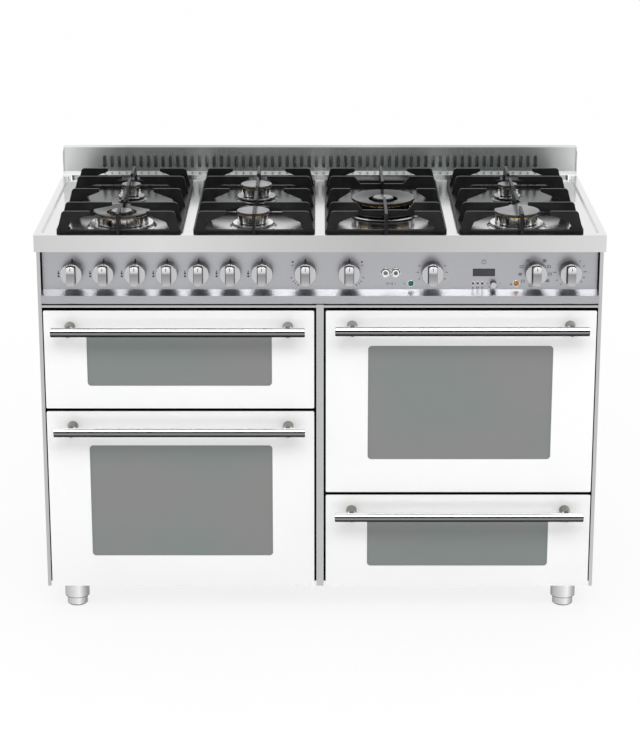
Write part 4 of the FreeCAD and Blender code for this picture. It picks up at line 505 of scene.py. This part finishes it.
lens = Look("lamp_lens", coat_weight=0.15, coat_roughness=0.05, specular_ior_level=0.25)
lamp_tone = lens.ramp(lens.scaled(lens.axis("X"), 0.18, 0.43, 0, 1), [
    (0.0, (0.004, 0.130, 0.060)), (0.3, (0.14, 0.050, 0.018)), (0.8, (0.44, 0.160, 0.012))],
    steps=True)
screen = lens.ramp(lens.noise(40), [(0.3, (0.036, 0.036, 0.042)), (0.7, (0.050, 0.050, 0.058))])
lens.colour(lens.mix(lens.past(lens.axis("Z"), SCREEN_LOW), lamp_tone, screen))
lens.roughness(lens.noise(80), 0.10, 0.2)
lens.bump(lens.noise(200), 0.00002, 0.3)
lens.on("indicator_lights")


# ---------------------------------------------------------------- mesh helpers


def mesh_object(name, bm, look, body):
    mesh = bpy.data.meshes.new(name)
    bmesh.ops.recalc_face_normals(bm, faces=bm.faces)
    bm.to_mesh(mesh)
    bm.free()
    piece = bpy.data.objects.new(name, mesh)
    bpy.context.scene.collection.objects.link(piece)
    mesh.materials.append(look.material)
    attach(piece, body)
    return piece


def smooth(piece):
    for face in piece.data.polygons:
        face.use_smooth = True
    return piece


def add_prism(bm, outline, front, depth):
    """Closed prism from an outline of (x, z) points, from y = front back by the depth."""
    near = [bm.verts.new((x, front, z)) for x, z in outline]
    far = [bm.verts.new((x, front + depth, z)) for x, z in outline]
    bm.faces.new(near)
    bm.faces.new(list(reversed(far)))
    count = len(outline)
    for index in range(count):
        following = (index + 1) % count
        bm.faces.new((near[index], far[index], far[following], near[following]))


def add_lathe(bm, profile, centre, axis="Z", count=48):
    """Surface of revolution from (radius, height) points, closed where a radius is zero."""
    rings = []
    for radius, height in profile:
        ring = []
        for k in range(1 if radius == 0 else count):
            angle = math.tau * k / count
            a, b = radius * math.cos(angle), radius * math.sin(angle)
            point = (a, b, height) if axis == "Z" else (a, -height, b)
            ring.append(bm.verts.new(Vector(centre) + Vector(point)))
        rings.append(ring)
    for lower, upper in zip(rings, rings[1:]):
        for k in range(count):
            following = (k + 1) % count
            corners = [lower[k % len(lower)], lower[following % len(lower)],
                       upper[following % len(upper)], upper[k % len(upper)]]
            distinct = list(dict.fromkeys(corners))
            if len(distinct) > 2:
                bm.faces.new(distinct)


def disc_outline(x, z, radius, count=20):
    turns = [math.tau * k / count for k in range(count)]
    return [(x + radius * math.cos(turn), z + radius * math.sin(turn)) for turn in turns]


def box_outline(x, z, width, height):
    return [(x - width / 2, z - height / 2), (x + width / 2, z - height / 2),
            (x + width / 2, z + height / 2), (x - width / 2, z + height / 2)]


def triangle_outline(x, z, width, height):
    """Triangle that stands on its base, whose middle is at (x, z)."""
    return [(x - width / 2, z), (x + width / 2, z), (x, z + height)]


def stroke(x, z, angle, length, width):
    """Short bar centred on (x, z), at an angle in degrees from +X."""
    along = Vector((math.cos(math.radians(angle)), math.sin(math.radians(angle)))) * length / 2
    across = Vector((-along.y, along.x)).normalized() * width / 2
    middle = Vector((x, z))
    return [tuple(middle + a + b) for a, b in
            ((-along, -across), (along, -across), (along, across), (-along, across))]


# ---------------------------------------------------------------- printed marks on the panel

INK_DEPTH = 0.00012
ink = Look("panel_ink")
ink.mottle(400, (0.005, 0.005, 0.006), (0.010, 0.010, 0.011))
ink.roughness(ink.noise(300), 0.45, 0.6)
marks = bmesh.new()


def mark(outline):
    add_prism(marks, outline, PANEL_FACE - INK_DEPTH, INK_DEPTH)


def dot(x, z, radius=0.0021):
    mark(disc_outline(x, z, radius))


def tick(x, degrees_from_top, radius=0.0305, length=0.0044, width=0.0014):
    """Short line that points at the middle of a knob."""
    angle = math.radians(90 - degrees_from_top)
    mark(stroke(x + radius * math.cos(angle), MARK_HEIGHT + radius * math.sin(angle),
                90 - degrees_from_top, length, width))


def circle(x, z, radius, count, width):
    """Round line of short strokes."""
    for k in range(count):
        turn = math.tau * k / count
        mark(stroke(x + radius * math.cos(turn), z + radius * math.sin(turn),
                    math.degrees(turn) + 90, 0.0014, width))


def boxed(x, z, width, height, line=0.0010, cross=False):
    """Small outlined box; with a cross in it, a fan."""
    for sign in (-1, 1):
        mark(box_outline(x, z + sign * height / 2, width, line))
        mark(box_outline(x + sign * width / 2, z, line, height))
    if cross:
        for angle in (40, -40):
            mark(stroke(x, z, angle, height * 0.9, line))


for name in GAS_KNOBS:
    x = KNOB_X[f"knob_{name}_burner"]
    dot(x, 0.7934)
    for height in (0.7638, 0.7576):
        dot(x - 0.0295, height, 0.0022)
    mark(triangle_outline(x - 0.0295, 0.7668, 0.0026, 0.0044))
for name, side in (("knob_grill_oven", -1), ("knob_left_oven", 1)):
    x = KNOB_X[name]
    dot(x, 0.7933)
    dot(x + side * 0.0268, 0.7890, 0.0020)
    for height in (0.7821, 0.7805):
        mark(box_outline(x + side * 0.0272, height, 0.0052, 0.0007))
    for angle in (112, 128, 139, 151):
        tick(x, side * angle, radius=0.0320)
for angle in (-118, -90, -62, 62, 90, 118):
    tick(KNOB_X["knob_right_thermostat"], angle)
for offset, height, cross in (
        (-0.0168, 0.7918, False), (-0.0299, 0.7786, False), (-0.0322, 0.7621, True),
        (-0.0262, 0.7471, False), (-0.0099, 0.7378, False), (0.0186, 0.7918, True),
        (0.0281, 0.7786, False), (0.0306, 0.7627, False), (0.0257, 0.7477, True)):
    boxed(KNOB_X["knob_right_selector"] + offset, height, 0.0064, 0.0046, cross=cross)
for angle in (41, 65, 88, 111, 130, -90, -123, -145):
    tick(KNOB_X["knob_oven_light"], angle, radius=0.0320,
         length=0.0062 if angle in (88, -90) else 0.0042)

# Clock above the display: a face and one hand.
circle(0.3455, 0.7891, 0.0044, 24, 0.0008)
mark(stroke(0.3455, 0.7906, 90, 0.0034, 0.0008))

# Bell, box and disc below the three small lamps.
mark(triangle_outline(SMALL_LAMP_X[0], 0.7310, 0.0046, 0.0036))
boxed(0.3332, 0.7327, 0.0042, 0.0030)
circle(0.3432, 0.7327, 0.0019, 10, 0.0007)

# Dot, dash and two slanted lines round the timer knob.
dot(0.3545, 0.7414, 0.0010)
mark(box_outline(0.3794, 0.7414, 0.0036, 0.0009))
for sign in (-1, 1):
    mark(stroke(TIMER_X + sign * 0.0085, 0.7342, sign * 38, 0.0056, 0.0009))

# Flame beside the orange lamp.
mark(triangle_outline(0.4036, 0.7385, 0.0040, 0.0050))

# Horn below the buttons: a triangle and three bars. Wave beside the green lamp.
for offset, rise, angle in ((0.0014, -0.0014, 27), (0.0014, 0.0014, -27), (-0.0021, 0, 90)):
    mark(stroke(0.1430 + offset, 0.7414 + rise, angle, 0.0052, 0.0008))
for offset, length in ((0.0075, 0.0052), (0.0105, 0.0070), (0.0160, 0.0044)):
    mark(stroke(0.1430 + offset, 0.7414, 90, length, 0.0008))
for x, angle in ((0.1764, 25), (0.1796, -25)):
    mark(stroke(x, 0.7414, angle, 0.0034, 0.0008))
mesh_object("panel_marks", marks, ink, "cabinet")

# ---------------------------------------------------------------- knob marks, and painted shadow lines beside the grips

DISC_FRONT = PANEL_FACE - 0.0005 - 0.0275
KNOB_FRONT = DISC_FRONT - 0.016
GRIP_HALF = 0.00875
mark_and_shadow_ink = Look("mark_and_painted_shadow")
mark_and_shadow_ink.mottle(500, 0.020, 0.035)
mark_and_shadow_ink.roughness(mark_and_shadow_ink.noise(300), 0.35, 0.5)
for name, x in KNOB_X.items():
    lines = bmesh.new()
    add_prism(lines, box_outline(x, KNOB_HEIGHT + 0.0150, 0.00136, 0.0069),
              KNOB_FRONT + 0.0003, 0.0005)
    # Dark lines on the disc beside each grip: painted shadow where the grip stands off the disc,
    # wider on the left.
    for side, width in ((-1, 0.0017), (1, 0.0011)):
        middle = x + side * (GRIP_HALF + width / 2)
        add_prism(lines, box_outline(middle, KNOB_HEIGHT, width, 0.0385),
                  DISC_FRONT - 0.0001, 0.0004)
    mesh_object(f"{name}_inlay", lines, mark_and_shadow_ink, name)

# ---------------------------------------------------------------- bezels and button symbols

bezel = Look("bezel_chrome", metallic=1.0, roughness=0.12)
bezel.mottle(200, 0.90, 0.97)
bezel.bump(bezel.noise(400), 0.00001, 0.3)


def bezel_ring(name, x, z, inner, outer, proud):
    """Rounded ring on the panel round a button or a lamp."""
    ring = bmesh.new()
    lip = (outer - inner) * 0.3
    add_lathe(ring, [
        (inner, 0.0), (inner, proud - lip / 2), (inner + lip, proud), (outer - lip, proud),
        (outer, proud - lip), (outer, 0.0), (inner, 0.0)], (x, PANEL_FACE, z), "Y", 40)
    smooth(mesh_object(name, ring, bezel, "cabinet"))


for name, x in BUTTON_X.items():
    bezel_ring(f"{name}_button_bezel", x, BUTTON_ROW, 0.0088, 0.0104, 0.0022)
for name, x in LAMP_X.items():
    bezel_ring(f"{name}_lamp_bezel", x, SMALL_ROW, 0.00565, 0.0072, 0.0012)
for index, x in enumerate(SMALL_LAMP_X):
    bezel_ring(f"small_lamp_bezel_{index + 1}", x, SMALL_ROW, 0.0031, 0.0039, 0.0005)

SYMBOL_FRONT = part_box("ignition_button")[0].y + 0.0009
SYMBOL_DEPTH = 0.0002
symbol = bmesh.new()
for k in (-1, 0, 1):
    add_prism(symbol, stroke(BUTTON_X["ignition"] + 0.0016 * k, BUTTON_ROW, 90 - 28 * k,
                             0.0040, 0.0006), SYMBOL_FRONT, SYMBOL_DEPTH)
mesh_object("ignition_symbol", symbol, ink, "ignition_button")
symbol = bmesh.new()
for outline in (disc_outline(BUTTON_X["light"], BUTTON_ROW + 0.0004, 0.0016),
                box_outline(BUTTON_X["light"], BUTTON_ROW - 0.0020, 0.0016, 0.0012)):
    add_prism(symbol, outline, SYMBOL_FRONT, SYMBOL_DEPTH)
mesh_object("light_symbol", symbol, ink, "light_button")

# ---------------------------------------------------------------- igniters beside the burners

PIN_PROFILE = [(0, 0), (0.0026, 0), (0.0026, 0.010), (0.0019, 0.012), (0, 0.012)]
TIP_PROFILE = [(0.0008, 0.012), (0.0008, 0.0165), (0, 0.0172)]
ceramic = Look("igniter_ceramic", coat_weight=0.4, coat_roughness=0.1)
ceramic.mottle(300, (0.66, 0.64, 0.60), (0.80, 0.79, 0.76))
ceramic.roughness(ceramic.noise(200), 0.25, 0.35)
pins = bmesh.new()
tips = bmesh.new()
for x, y, radius in BURNERS.values():
    for side in (-1, 1):
        angle = math.radians(-90 + side * 52)
        reach = radius + 0.0028
        base = (x + reach * math.cos(angle), y + reach * math.sin(angle), FLANGE_TOP - 0.0005)
        add_lathe(pins, PIN_PROFILE, base, "Z", 16)
        add_lathe(tips, TIP_PROFILE, base, "Z", 10)
smooth(mesh_object("igniter_pins", pins, ceramic, "cabinet"))
smooth(mesh_object("igniter_tips", tips, bezel, "cabinet"))

# ---------------------------------------------------------------- screws on the back

SCREW_PROFILE = [(0, -0.0022), (0.0022, -0.0021), (0.0040, -0.0012), (0.0042, 0.0)]
BACK_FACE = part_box("back_panel")[0].y + 0.0015
screws = bmesh.new()
screw_places = [(x, z) for x in (-0.575, -0.29, 0.0, 0.29, 0.575) for z in (0.075, 0.825)]
screw_places += [(x, z) for z in (0.30, 0.57) for x in (-0.575, 0.575)]
for x, z in screw_places:
    add_lathe(screws, SCREW_PROFILE, (x, BACK_FACE, z), "Y", 20)
smooth(mesh_object("back_screws", screws, bezel, "cabinet"))

# ---------------------------------------------------------------- camera

IMAGE_HEIGHT = 745
FOCAL_PIXELS = 2194.3
DEGREES_DOWN = 15.754
camera_data = bpy.data.cameras.new("camera")
camera_data.sensor_fit = "VERTICAL"
camera_data.sensor_height = 36
camera_data.sensor_width = 36
camera_data.lens = FOCAL_PIXELS / IMAGE_HEIGHT * camera_data.sensor_height
camera_data.shift_y = -0.12
camera = bpy.data.objects.new("camera", camera_data)
camera.location = (0, -4.7076, 2.0018)
camera.rotation_euler = (math.radians(90 - DEGREES_DOWN), 0, 0)
bpy.context.scene.collection.objects.link(camera)
bpy.context.scene.camera = camera

# ---------------------------------------------------------------- floor and black card


def stage_plane(name, corners, look):
    mesh = bpy.data.meshes.new(name)
    mesh.from_pydata(corners, [], [(0, 1, 2, 3)])
    plane = bpy.data.objects.new(name, mesh)
    bpy.context.scene.collection.objects.link(plane)
    mesh.materials.append(look.material)
    return plane


# White paper. Seen by the camera or in metal it glows a little, more so far from the cooker.
floor = Look("floor_paper", roughness=0.9)
floor.mottle(4, 0.88, 0.90)
rays = floor.add("ShaderNodeLightPath").outputs
seen = floor.combine("MAXIMUM", rays["Is Camera Ray"], rays["Is Glossy Ray"])
away = floor.add("ShaderNodeVectorMath", operation="LENGTH")
floor.link(floor.position, away.inputs[0])
paleness = floor.scaled(away.outputs["Value"], 0.7, 2.2, 0.84, 0.99)
glow = floor.add("ShaderNodeEmission")
glow.inputs["Color"].default_value = (1, 1, 1, 1)
blend = floor.add("ShaderNodeMixShader")
floor.link(floor.combine("MULTIPLY", seen, paleness), blend.inputs["Fac"])
floor.link(floor.shader.outputs["BSDF"], blend.inputs[1])
floor.link(glow.outputs["Emission"], blend.inputs[2])
floor.link(blend.outputs["Shader"], floor.tree.nodes["Material Output"].inputs["Surface"])
FLOOR_HALF, FLOOR_HEIGHT = 12, -0.0005
stage_plane("floor", [
    (x * FLOOR_HALF, y * FLOOR_HALF, FLOOR_HEIGHT)
    for x, y in ((-1, -1), (1, -1), (1, 1), (-1, 1))], floor)

# Black card above the camera, for the dark reflections in the steel.
card = Look("black_card", roughness=0.8)
card.mottle(3, 0.010, 0.016)
flag = stage_plane("flag", [(-5, -5.4, 2.4), (5, -5.4, 2.4), (5, -5.0, 5.2), (-5, -5.0, 5.2)], card)
flag.visible_camera = False
flag.visible_diffuse = False
flag.visible_shadow = False

# ---------------------------------------------------------------- world and lamps

world = bpy.data.worlds.new("studio")
bpy.context.scene.world = world
world.use_nodes = True
world.node_tree.nodes.clear()


def world_node(kind, *sources, **properties):
    """Node of the world whose first inputs are linked to the sources."""
    node = world.node_tree.nodes.new(kind)
    for key, value in properties.items():
        setattr(node, key, value)
    for socket, source in zip(node.inputs, sources):
        world.node_tree.links.new(source, socket)
    return node


def white_world(strength):
    node = world_node("ShaderNodeBackground")
    node.inputs["Color"].default_value = (1, 1, 1, 1)
    node.inputs["Strength"].default_value = strength
    return node.outputs[0]


# The world lights the cooker softly, and looks white to the camera and in metal and glass.
rays = world_node("ShaderNodeLightPath").outputs
shiny = world_node("ShaderNodeMath", rays["Is Glossy Ray"], rays["Is Transmission Ray"],
                   operation="MAXIMUM")
seen = world_node("ShaderNodeMath", rays["Is Camera Ray"], shiny.outputs[0], operation="MAXIMUM")
choice = world_node("ShaderNodeMixShader", seen.outputs[0], white_world(0.60), white_world(1.0))
world_node("ShaderNodeOutputWorld", choice.outputs[0])


def softbox(name, place, target, width, height, watts):
    data = bpy.data.lights.new(name, "AREA")
    data.shape = "RECTANGLE"
    data.size, data.size_y = width, height
    data.energy = watts
    lamp = bpy.data.objects.new(name, data)
    lamp.location = place
    lamp.rotation_mode = "QUATERNION"
    lamp.rotation_quaternion = (Vector(target) - Vector(place)).to_track_quat("-Z", "Y")
    bpy.context.scene.collection.objects.link(lamp)
    return lamp


softbox("key", (0.3, -3.2, 3.6), (0, -0.2, 0.5), 3.2, 1.6, 74)
softbox("left_fill", (-3.6, -1.6, 1.8), (0, 0, 0.5), 1.6, 2.4, 26)
softbox("right_fill", (3.6, -1.6, 1.8), (0, 0, 0.5), 1.6, 2.4, 22)
softbox("top", (0, 0.6, 3.4), (0, 0, 0.8), 3.0, 1.6, 24)
rear = softbox("rear_fill", (0, 4.5, 2.4), (0, 0, 0.5), 3.0, 2.0, 24)
rear.visible_glossy = False
bpy.context.scene.view_settings.view_transform = "Standard"
